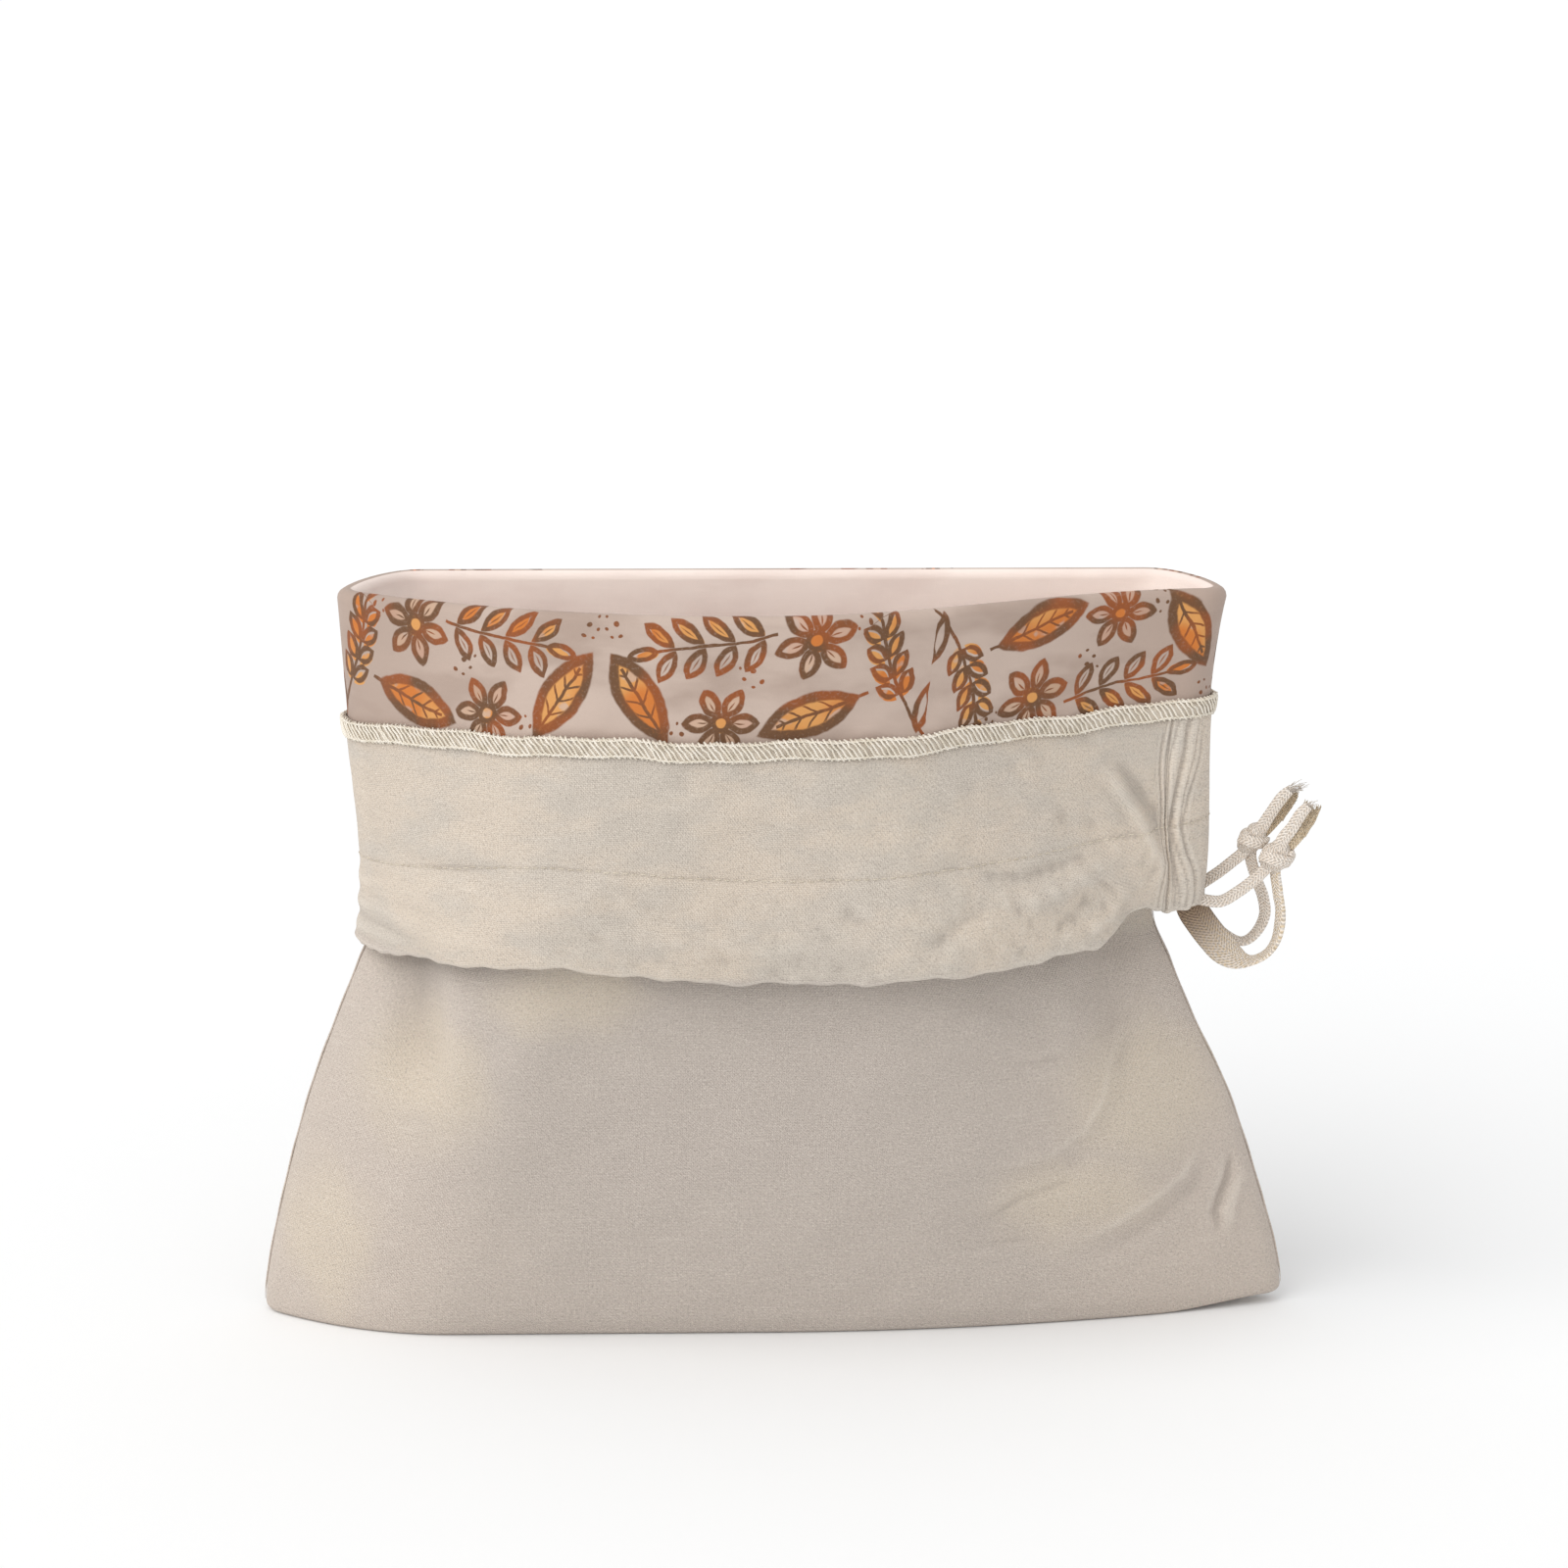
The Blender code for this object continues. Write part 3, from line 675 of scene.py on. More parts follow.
def brush(rng, start, middle, end, width):
    # a woven stub with loose threads at its tip
    start, middle, end = (np.array(p) for p in (start, middle, end))
    steps, thickness = frayedEnds["stubSteps"], frayedEnds["thickness"]
    t = np.linspace(0, 1, steps)[:, None]
    centres = start * (1 - t) ** 2 + 2 * middle * t * (1 - t) + end * t**2
    ahead = unit(np.gradient(centres, axis=0))
    side = unit(np.cross(ahead, [[0, 1.0, 0]]))
    widths = width * (0.55 + 0.5 * t[:, 0])
    stub = sweep(centres, side, np.cross(ahead, side), widths, np.full(steps, thickness), tapeSection(16))
    tips = []
    for _ in range(frayedEnds["tipThreads"]):
        across = rng.uniform(-0.5, 0.5)
        deep = rng.choice([-0.5, 0.5]) * thickness * rng.uniform(0.7, 1.1)
        reach = np.linspace(rng.uniform(0.25, 0.7), rng.uniform(0.98, 1.16), 8)
        at = np.minimum(reach, 1.0) * (steps - 1)
        line = np.stack([np.interp(at, np.arange(steps), centres[:, k]) for k in range(3)], 1)
        line = line + ahead[-1] * (np.maximum(reach - 1.0, 0.0) * 0.016)[:, None]
        spread = np.interp(at, np.arange(steps), widths) * across
        line = line + side[-1] * spread[:, None] + np.array([0, 1.0, 0]) * deep
        tips.append(line + rng.normal(0, 0.00012, (8, 3)))
    return stub, tips


def wispThreads(rng, start, reach, width, count):
    ahead = np.array(reach)
    side = unit(np.cross(ahead, [0, 1.0, 0]))
    t = np.linspace(0, 1, 8)[:, None]
    lines = []
    for _ in range(count):
        across = rng.uniform(-0.5, 0.5)
        length = rng.uniform(0.3, 1.0)
        bend = rng.normal(0, 0.0010, 3) * np.array([1, 0.7, 1])
        base = np.array(start) + side * across * width - unit(ahead) * 0.002
        line = base + ahead * t * length * (1 - 0.25 * abs(across)) + bend * t**2
        lines.append(line + rng.normal(0, 0.0001, (8, 3)) * t)
    return lines


def addFrayedEnds():
    rng = np.random.default_rng(11)
    radius = frayedEnds["threadRadius"]
    made = [brush(rng, *stub) for stub in frayedEnds["brushes"]]
    tips = [line for stub, lines in made for line in lines]
    wispLines = [line for wisp in frayedEnds["wisps"] for line in wispThreads(rng, *wisp)]
    stubs = joined([stub for stub, lines in made] + [threads(tips, radius, 4, 0.4)])
    piece = makeObject("frayed_brushes", *stubs, shadedThreads, "cotton_tape")
    wisps = makeObject("frayed_wisps", *threads(wispLines, radius * 0.8, 4, 0.6), lightTape, "cotton_tape")
    return piece, wisps


brushes, wisps = addFrayedEnds()
print("knots and frayed ends made")

# the bag, in millimetres: one closed ring of columns, the same for every layer of cloth
bag = {
    "halfWidth": 195.0,
    "rimHeight": 277.0,
    "depth": 60.0,
    "cloth": 1.2,
    "lining": 1.0,
    "gap": 0.4,
    "seamRound": 5.0,
    "baseCorner": 2.9,
    "rimFold": 1.2,
    "mouthFold": 1.8,
    "sideLift": 4.0,
    "creaseShade": 3.4,
    # soft waves of the walls: size, seed, shortest, longest, how many, and lean
    "waves": [(0.75, 3, 34, 120, 22, 0.2), (0.22, 5, 12, 30, 26, 0.5)],
    "frontSteps": 210,
    "backSteps": 70,
    # height, left, right, front, back, shoulders of the left, right and back, ease, left y, right y
    "sections": [
        (0.00, 1.000, 0.995, 0.58, 0.52, 0.38, 1.00, 0.60, 0.0, 0.00, 0.14),
        (0.04, 0.997, 0.990, 0.64, 0.58, 0.40, 1.00, 0.60, 0.0, 0.00, 0.12),
        (0.13, 0.972, 0.961, 0.73, 0.68, 0.44, 0.95, 0.58, 0.0, 0.00, 0.08),
        (0.30, 0.908, 0.885, 0.90, 0.82, 0.50, 0.85, 0.52, 0.1, -0.02, 0.04),
        (0.42, 0.846, 0.806, 0.99, 0.88, 0.52, 0.78, 0.47, 0.3, -0.03, 0.00),
        (0.50, 0.800, 0.759, 1.02, 0.88, 0.53, 0.74, 0.44, 0.4, -0.04, 0.00),
        (0.56, 0.766, 0.726, 1.03, 0.86, 0.54, 0.72, 0.42, 0.5, -0.04, 0.00),
        (0.66, 0.762, 0.734, 1.02, 0.82, 0.60, 0.80, 0.38, 0.6, -0.05, 0.00),
        (0.82, 0.782, 0.765, 1.00, 0.70, 0.74, 0.95, 0.26, 0.9, -0.07, 0.00),
        (1.00, 0.800, 0.828, 0.96, 0.60, 0.90, 1.00, 0.14, 1.0, -0.08, 0.00),
    ],
    # broad folds of the front wall: across, height, half width, half height, depth outwards
    "broadFolds": [
        (-0.80, 128.0, 0.07, 30.0, -6.0),
        (-0.93, 118.0, 0.05, 36.0, 2.5),
        (0.80, 78.0, 0.15, 28.0, 5.0),
        (0.50, 38.0, 0.20, 16.0, -3.0),
        (0.84, 34.0, 0.08, 18.0, -3.5),
    ],
    # finer creases of the front wall: path of x and z, half width and depth outwards
    "creases": [
        ([(-138, 186), (-136, 140), (-131, 90)], 11.0, -8.0),
        ([(-121, 156), (-118, 128), (-120, 96)], 7.5, 1.5),
        ([(-104, 154), (-103, 128), (-108, 104)], 7.0, -1.0),
        ([(103, 154), (105, 132), (106, 108)], 6.5, 1.3),
        ([(122, 186), (124, 142), (131, 96)], 10.0, -5.0),
        ([(85, 110), (97, 109.5), (109, 111.5)], 2.2, -0.4),
        ([(84, 113.5), (97, 113), (110, 115)], 2.6, 0.4),
        ([(148, 124), (131, 115), (125, 106), (122, 94), (115, 81), (102, 72), (86, 70), (64, 68)],
         2.6, 0.55),
        ([(152, 118), (136, 110), (131, 102), (129, 92), (122, 77), (107, 65), (88, 62), (66, 60)],
         5.5, -1.0),
        ([(75, 44.5), (91, 55), (107, 59.5), (119, 58.5)], 2.2, -0.6),
        ([(72, 48), (90, 59.5), (106, 64)], 3.4, 0.45),
        ([(110, 33), (127, 41), (141, 49), (154, 58), (163, 76)], 3.0, 0.9),
        ([(118, 28), (132, 34), (146, 42), (159, 52), (167, 66)], 4.8, -1.3),
        ([(173, 66), (172, 54), (167.5, 40), (169, 29)], 2.2, -1.6),
        ([(177, 62), (176.5, 52), (173, 40), (174, 30)], 3.0, 1.1),
        ([(66, 34), (84, 37), (100, 38)], 2.2, -0.5),
        ([(20, 146), (60, 132), (104, 122)], 6.0, 0.6),
        ([(-60, 60), (-20, 48), (30, 46)], 10.0, 0.7),
        ([(-150, 62), (-128, 48), (-112, 22)], 8.0, 0.9),
        ([(-30, 140), (-26, 110), (-34, 84)], 12.0, -0.7),
    ],
}
cuff = {
    # each is the value at the left seam, the front, the right seam and the back
    "bottom": (147.0, 149.0, 156.0, 150.0),
    "standOff": (0.8, 9.0, 13.5, 7.0),
    "overlockLine": (230.0, 233.5, 237.0, 232.0),
    "flare": 0.8,
    "drawnUp": 10.5,
    "drawnUpOver": 0.12,
    "stitchLine": (180.0, 187.5, 195.0, 186.0),
    "leftRise": 5.5,
    "pleatAngle": 2.91,
    "pleatSpread": 0.125,
    "pleatDepth": 1.35,
    "creaseGain": 1.5,
    "stitchDip": -0.18,
    "puff": 1.3,
    "scallops": 0.45,
    "waves": [(0.7, 8, 26, 90, 22, 0.3), (0.34, 9, 9, 24, 30, 0.3)],
    "puckers": (0.18, 12, 5, 12, 24, 1.2),
    # creases of the facing: path of x and z, half width and depth outwards
    "creases": [
        ([(116, 222), (127, 206), (133, 196), (139, 181), (139, 166)], 3.4, 1.5),
        ([(124, 222), (134, 207), (141, 196), (146, 182), (145, 166)], 4.2, -1.5),
        ([(64, 189), (80, 184), (92, 183), (109, 187), (122, 192)], 4.0, -1.1),
        ([(82, 175), (100, 177), (118, 184)], 5.0, 1.1),
        ([(52, 161), (66, 170), (76, 177)], 4.0, -1.0),
        ([(96, 160), (108, 168), (116, 176)], 3.6, -0.9),
        ([(110, 158), (121, 166), (128, 176)], 3.4, 0.9),
        ([(98, 206), (106, 199), (121, 196)], 5.0, -0.8),
        ([(-150, 190), (-120, 186), (-84, 187)], 4.0, -0.6),
        ([(-146, 166), (-120, 160), (-92, 160)], 5.0, 0.8),
        ([(-60, 168), (-10, 162), (40, 163)], 5.0, 0.7),
        ([(-84, 158), (-64, 168), (-52, 180)], 5.0, -0.7),
        ([(-70, 220), (-20, 212), (30, 214)], 7.0, 0.6),
        ([(20, 178), (34, 170), (40, 160)], 4.0, -0.6),
    ],
}


def roundValue(table, angle):
    across, forward = -np.cos(angle), np.sin(angle)
    side = np.where(across < 0, table[0], table[2])
    face = np.where(forward > 0, table[1], table[3])
    return across**2 * side + forward**2 * face


def creaseDepth(x, z, creases):
    total = np.zeros(np.broadcast(x, z).shape)
    for path, width, depth in creases:
        path = np.array(path, float)
        spans = np.linalg.norm(np.diff(path, axis=0), axis=1)
        nearest = np.full(total.shape, 1e9)
        share = np.zeros(total.shape)
        for i, span in enumerate(spans):
            along = (path[i + 1] - path[i]) / span
            t = np.clip((x - path[i, 0]) * along[0] + (z - path[i, 1]) * along[1], 0, span)
            away = np.hypot(x - path[i, 0] - along[0] * t, z - path[i, 1] - along[1] * t)
            closer = away < nearest
            share = np.where(closer, (spans[:i].sum() + t) / spans.sum(), share)
            nearest = np.where(closer, away, nearest)
        ends = smooth(share / 0.3) * smooth((1 - share) / 0.3)
        total += depth * bell(nearest / width) * (0.15 + 0.85 * ends)
    return total


def rumple(x, y, z, size, seed, shortest, longest, waves, lean):
    # soft irregular waves that run on round the bag
    rng = np.random.default_rng(seed)
    total = np.zeros(np.broadcast(x, z).shape)
    for _ in range(waves):
        length = shortest * (longest / shortest) ** rng.random()
        heading = lean + rng.normal(0, 0.9)
        start = rng.random() * 2 * np.pi
        bend = 0.35 * np.sin(x / 37 + rng.random() * 6) + 0.35 * np.sin(z / 23 + rng.random() * 6)
        run = (x + 0.6 * y) * np.sin(heading) + z * np.cos(heading)
        total += (length / longest) ** 0.8 * np.sin(2 * np.pi * run / length + start + bend)
    return size * (total / math.sqrt(waves))


def outlineAt(angle, rows, height):
    across = -np.cos(angle)
    left, right, front, back, leftShoulder, rightShoulder, backShoulder, ease, leftY, rightY = (
        rows[..., i] for i in range(1, 11)
    )
    depth, seamRound = bag["depth"], bag["seamRound"]
    leftX, rightX = -left * bag["halfWidth"], right * bag["halfWidth"]
    half = (rightX - leftX) / 2
    x = (leftX + rightX) / 2 + across * half
    seamY = (leftY + (rightY - leftY) * (across + 1) / 2) * depth
    fromSeam = np.minimum((1 - np.abs(across)) * half / seamRound, 1.0)
    cap = seamRound * np.sqrt(np.maximum(0, 1 - (1 - fromSeam) ** 2))
    vault = dome((1 - across) / rightShoulder)
    rightRise = vault + (smooth((1 - across) / rightShoulder) - vault) * ease
    frontRise = dome((1 + across) / leftShoulder) * rightRise
    folds = 0.0
    for foldAcross, foldMiddle, halfWidth, halfHeight, foldDepth in bag["broadFolds"]:
        away = ((across - foldAcross) / halfWidth) ** 2 + ((height - foldMiddle) / halfHeight) ** 2
        folds = folds + foldDepth * np.exp(-away)
    frontY = seamY - cap - (front * depth - seamRound + folds) * frontRise
    backY = seamY + cap + (back * depth - seamRound) * dome((1 - np.abs(across)) / backShoulder)
    return x, np.where(np.sin(angle) >= 0, frontY, backY)


def wallDetail(angle, x, y, height):
    # creases and soft waves of the walls, fading out under the cuff, at the base and at the seams
    shown = smooth((165 - height) / 12) * smooth(height / 14) * smooth(np.abs(np.sin(angle)) / 0.22)
    front = creaseDepth(x, height, bag["creases"]) * (np.sin(angle) > 0)
    return (front + sum(rumple(x, y, height, *wave) for wave in bag["waves"])) * shown


def place(angle, height, grow, creased=1.0):
    # points of the bag's outline, moved outwards by grow
    angle, height, grow = np.broadcast_arrays(angle, height, grow)
    table = np.array(bag["sections"])
    rows = readTable(table[:, 0] * bag["rimHeight"], table, height)
    step = 0.002
    (x, y), (x1, y1), (x0, y0) = (outlineAt(angle + turn, rows, height) for turn in (0, step, -step))
    size = np.hypot(x1 - x0, y1 - y0)
    grow = grow + creased * wallDetail(angle, x, y, height)
    lift = bag["sideLift"] * smooth((-np.cos(angle) - 0.75) / 0.25) * (1 - smooth(height / 60))
    return np.stack([x + (y1 - y0) / size * grow, y + (x0 - x1) / size * grow, height + lift], -1)


def ringAngles():
    # columns closer together over the front's creases and most of all at the gathers
    fine = np.linspace(0, math.pi, 2000)
    need = 0.35 + np.sin(fine) + 0.8 * bell((fine - 2.25) / 0.4)
    need = need + 2.6 * bell((fine - cuff["pleatAngle"]) / 0.16)
    run = np.concatenate([[0], np.cumsum((need[1:] + need[:-1]) / 2)])
    front = np.interp(np.linspace(0, run[-1], bag["frontSteps"] + 1), run, fine)
    back = math.pi + math.pi * np.arange(1, bag["backSteps"]) / bag["backSteps"]
    return np.concatenate([front, back])


angles = ringAngles()


def leftRise(angle):
    # the cuff is drawn up a little on the front's left
    return cuff["leftRise"] * bell((np.cos(angle) - 0.53) / 0.28) * (np.sin(angle) > 0)


def stitchHeight(angle):
    return roundValue(cuff["stitchLine"], angle) + leftRise(angle)


def foldHeight(angle):
    across = -np.cos(angle)
    drawn = smooth((across - 0.765) / cuff["drawnUpOver"]) * (1 - 0.5 * smooth((across - 0.88) / 0.12))
    level = roundValue(cuff["bottom"], angle) + cuff["drawnUp"] * drawn + bag["mouthFold"] + leftRise(angle)
    wobble = 0.5 * np.sin(across * 21) + 0.4 * np.sin(across * 37 + 1) + 0.3 * np.sin(angle * 61)
    return level + wobble * smooth(np.abs(np.sin(angle)) / 0.2)


def lineHeight(angle):
    # the overlocked line, a little wavy
    across = -np.cos(angle)
    wave = 0.5 * np.sin(across * 15 + 0.6) + 0.35 * np.sin(across * 34)
    wave = wave * smooth(np.abs(np.sin(angle)) / 0.2)
    return roundValue(cuff["overlockLine"], angle) + wave + 0.3 * leftRise(angle)


def shareAt(angle, height):
    return (bag["rimHeight"] - height) / (bag["rimHeight"] - foldHeight(angle))


def pleats(angle, fromStitch):
    # gathers by the right seam, pinched together at the stitched line where the tie draws the cloth up
    pinch = 0.50 + 0.50 * smooth(np.abs(fromStitch) / 0.26)
    aside = 0.04 * bell(fromStitch / 0.26)
    offset = (angle - cuff["pleatAngle"] + aside) / pinch
    window = np.exp(-((offset / cuff["pleatSpread"]) ** 4))
    bent = 0.5 * np.sin(9 * fromStitch)
    broad = np.sqrt(np.cos(np.pi * offset / 0.078 + 0.4 + bent) ** 2 + 0.03)
    fine = np.sqrt(np.cos(np.pi * offset / 0.047 + 2.0 - bent) ** 2 + 0.05)
    lines = 1.3 * broad + 0.7 * fine - 1.30
    grown = smooth((fromStitch + 0.40) / 0.12) * (0.8 + 0.5 * bell(fromStitch / 0.12))
    return cuff["pleatDepth"] * lines * window * grown


def cuffDetail(angle, share, x, y, z):
    edge = smooth(np.abs(np.sin(angle)) / 0.15)
    stitchShare = shareAt(angle, stitchHeight(angle))
    fromStitch = share - stitchShare
    creased = cuff["creaseGain"] * creaseDepth(x, z, cuff["creases"]) * (np.sin(angle) > 0)
    soft = sum(rumple(x, y, z, *wave) for wave in cuff["waves"])
    # the stitched line lies in a slight dip, and the channel below it is puffed and puckered
    stitch = cuff["stitchDip"] * bell(fromStitch / 0.014)
    puff = cuff["puff"] * np.sin(np.pi * np.clip(fromStitch / (1.0 - stitchShare), 0, 1)) ** 0.8
    below = smooth((fromStitch + 0.02) / 0.1)
    puckers = below * rumple(x, y, z, *cuff["puckers"])
    scallops = cuff["scallops"] * np.sin(2 * np.pi * z / 9.5) * bell(angle / 0.5) * below
    face = (creased + soft) * smooth(share / 0.3) + stitch + puff + puckers
    return face * edge + scallops + pleats(angle, fromStitch)


def cuffPoint(angle, share, out):
    # share runs from 0 at the rim to 1 at the mouth's fold
    angle, share = np.broadcast_arrays(angle, share)
    height = bag["rimHeight"] + (foldHeight(angle) - bag["rimHeight"]) * share
    rest = 2 * bag["rimFold"] + roundValue(cuff["standOff"], angle) * smooth(share) ** cuff["flare"]
    x, y, z = np.moveaxis(place(angle, height, rest, 0.0), -1, 0)
    return place(angle, height, rest + cuffDetail(angle, share, x, y, z) + out, 0.0)


def cuffAt(angle, height, out):
    return cuffPoint(angle, shareAt(angle, height), out)


def arcRows(start, end, radius, steps, rowAt, lift=0.0):
    # rows of points round a fold; rowAt gives the row that is so far out
    rows = []
    for turn in np.linspace(start, end, steps + 1):
        row = rowAt(radius * math.cos(turn))
        row[:, 2] += lift + radius * math.sin(turn)
        rows.append(row)
    return rows


def wallRows(depth, baseSteps, rimSteps, tuck=0.0):
    # a layer of cloth from the edge of the base up to and over the rim
    corner, rim, fold = bag["baseCorner"], bag["rimHeight"], bag["rimFold"]
    heights = np.concatenate([np.linspace(6, 162, 82), np.linspace(176, 260, 6)])
    edge = (-math.pi / 2, 0, corner - depth, baseSteps)
    rows = arcRows(*edge, lambda out: place(angles, 0.0, out - corner), corner)
    rows += [place(angles, height, -depth - tuck * smooth((170 - height) / 10)) for height in heights]
    top = arcRows(math.pi, 0, fold + depth, rimSteps, lambda out: place(angles, rim, fold + out))
    return rows + top, len(rows)


def cuffRows(out, places):
    # 0 is the rim, 1 the overlocked line and 2 the mouth's fold
    line = shareAt(angles, lineHeight(angles))
    return [cuffPoint(angles, line * min(at, 1.0) + (1 - line) * max(at - 1.0, 0.0), out) for at in places]


def baseStrips(grid):
    # the base closes with one strip between each back column and the front columns facing it
    front, back, columns = bag["frontSteps"], bag["backSteps"], grid.shape[1]
    facing = np.searchsorted(grid[0, : front + 1, 0], grid[0, [(-k) % columns for k in range(back + 1)], 0])
    facing[0], facing[-1] = 0, front
    strips = []
    for k in range(back):
        low, high = int(facing[k]), int(facing[k + 1])
        strip = dict.fromkeys([*range(high, low - 1, -1), (-k) % columns, (-k - 1) % columns])
        if len(strip) > 2:
            strips.append(tuple(strip))
    return strips


def shadeCreases(piece, grid):
    # how hollow or raised each point is beside its neighbours, which the material reads as painted shade in
    # hollows and painted highlight on ridges
    normals = np.zeros(grid.size)
    piece.data.vertex_normals.foreach_get("vector", normals)
    normals = normals.reshape(grid.shape)
    foldShadeAndHighlight = np.zeros(grid.shape[:2])
    for axis in (0, 1):
        after, before = np.roll(grid, -1, axis), np.roll(grid, 1, axis)
        reach = np.maximum(np.linalg.norm(after - before, axis=2) / 2, 0.0006)
        bent = ((grid - (after + before) / 2) * normals).sum(2) / reach**2 * 2 * mm
        if axis == 0:
            bent[[0, -1]] = 0
        foldShadeAndHighlight += bent * bag["creaseShade"]
    foldShadeAndHighlight = np.clip(foldShadeAndHighlight * smooth(np.abs(np.sin(angles)) / 0.16)[None], -1, 1)
    foldShadeAndHighlight = foldShadeAndHighlight * smooth((grid[..., 2] - 0.008) / 0.008)
    layer = piece.data.attributes.new("foldShadeAndHighlight", "FLOAT", "POINT")
    layer.data.foreach_set("value", foldShadeAndHighlight.ravel().astype(np.float32))


def clothRing(name, rows, zeroRow, mapRow, thickness, material, slot, replaced):
    # rows of points joined all round; the map is metres round the bag and metres from zeroRow
    grid = np.array(rows) * mm
    rowCount, columns = grid.shape[:2]
    closed = np.concatenate([grid, grid[:, :1]], axis=1)
    rise = np.linalg.norm(np.diff(closed, axis=0), axis=2).mean(axis=1)
    along = np.concatenate([[0], np.cumsum(rise)])
    along = along - along[zeroRow]
    corners = quadCorners(runAlong(closed[mapRow]), along[:, None])
    strips = baseStrips(grid)
    edge = [(grid[0, i, 0], along[0] - 0.1 + grid[0, i, 1]) for strip in strips for i in strip]
    faces = tubeFaces(rowCount, columns, capped=False) + strips
    corners = np.concatenate([corners, edge])
    piece = makeObject(name, grid.reshape(-1, 3), faces, corners, material, slot, [replaced])
    shadeCreases(piece, grid)
    cloth = piece.modifiers.new("cloth", "SOLIDIFY")
    cloth.thickness = thickness * mm
    cloth.offset = -1.0
    cloth.use_even_offset = True
    cloth.use_quality_normals = True
    return piece


def addOuterBag():
    fold = bag["mouthFold"]
    rows, rimStart = wallRows(0.0, 4, 6)
    rows += cuffRows(0.0, np.linspace(0.15, 1.9, 8))
    rows += arcRows(math.pi, 2 * math.pi, fold, 8, lambda out: cuffPoint(angles, 1.0, fold + out))
    rows += cuffRows(2 * fold, np.linspace(1.98, 1.008, 60))
    names = ("natural_cotton", "outer_bag")
    return clothRing("natural_bag", rows, rimStart + 3, 40, bag["cloth"], cottonMaterial, *names)


outerBag = addOuterBag()
print("outer bag made:", len(outerBag.data.polygons), "faces")

# the band's print: simple drawn plants, seeds and flowers, from a map in metres
printColours = {
    "ground": tone(195, 176, 164),
    "groundDeep": tone(174, 154, 142),
    "line": tone(108, 76, 52),
    "lineWarm": tone(146, 82, 44),
    "fill": tone(202, 116, 42),
    "fillPale": tone(214, 152, 84),
    "inside": tone(250, 236, 228),
    "insideDeep": tone(242, 226, 218),
}


def unmapped(vector, middle, turn, size):
    # a place in a shape's own space, given where the shape lies
    inputs = {"Vector": vector, "Location": middle, "Rotation": turn, "Scale": size}
    return addNode("ShaderNodeMapping", inputs, vector_type="TEXTURE")


def stampStart(name):
    # a drawn motif has its own place, turn and size; its own space is in units of its size
    inputs = {"Place": None, "Middle": None, "Turn": None, "Size": 0.01}
    start, end = newGroup(name, inputs, {"Ink": "NodeSocketColor"})
    size = addNode("ShaderNodeCombineXYZ", {i: start["Size"] for i in range(3)})
    local = unmapped(start["Place"], start["Middle"], start["Turn"], size)
    # the fills are printed a little out of register
    return local, vectorCalc("ADD", local, (0.045, 0.035, 0.0)), end


def inkOut(end, line, filled=0.0):
    # red is the drawn line and green the fill under it
    feed(end, {"Ink": addNode("ShaderNodeCombineColor", {0: line, 1: filled})})
    return end.id_data


def roundAway(vector, x, y, width, height, turn=0.0):
    # how far out of an ellipse a point is, 1 at its edge
    return distance(unmapped(vector, (x, y, 0), (0, 0, turn), (width, height, 1)))


def leafAway(vector, x, y, length, thin, turn=0.0):
    # how far out of a pointed leaf a point is, 1 at its edge; length is half its length
    bow = (1 / thin - thin) / 2 * length
    radius = math.hypot(bow, length)
    sideX, sideY = -math.sin(turn) * bow, math.cos(turn) * bow
    return most(*(roundAway(vector, x + sideX * s, y + sideY * s, radius, radius) for s in (1, -1)))


def outlined(away, width):
    return fade(abs(away - 1.0), width * 0.6, width, 1.0, 0.0)


def inside(away, edge=0.03):
    return fade(away, 1.0 - edge, 1.0, 1.0, 0.0)


def stroke(value, halfWidth):
    # 1 where a value is within half a stroke's width of zero
    return fade(abs(value), halfWidth * 0.6, halfWidth, 1.0, 0.0)


def span(value, low, high):
    return fade(value, low, low + 0.01) * fade(value, high - 0.01, high, 1.0, 0.0)


def most(total, *values):
    for value in values:
        total = calc("MAXIMUM", total, value)
    return total


def rowSpace(space, bow, shift, pitch):
    # a bent row along x: its x and y, its straightened space and its cells, mirrored in its stem
    x, y = split(space)[:2]
    y = y - bow(x)
    return x, y, combine(x, y), combine((x + shift) % pitch - pitch / 2, abs(y))


def buildEar():
    # an ear of grain along x, from -1 to 1
    local, aside, end = stampStart("stampEar")

    def shapes(space):
        x, y, straight, cells = rowSpace(space, lambda x: x * x * 0.16, 0.06, 0.26)
        grains, tip = leafAway(cells, 0.0, 0.13, 0.16, 0.46, 0.66), leafAway(straight, 0.90, 0.0, 0.16, 0.44)
        return x, y, straight, grains, tip

    x, y, straight, grains, tip = shapes(local)
    drawn = outlined(grains, 0.20) * span(x, -0.32, 0.73)
    stem = stroke(y, 0.028) * span(x, -1.0, 0.78)
    blade = leafAway(straight, -0.62, 0.17, 0.30, 0.28, 0.72)
    line = most(drawn, outlined(tip, 0.19), stem, outlined(blade, 0.085))
    x, y, straight, grains, tip = shapes(aside)
    return inkOut(end, line, most(inside(grains) * span(x, -0.32, 0.73), inside(tip)))


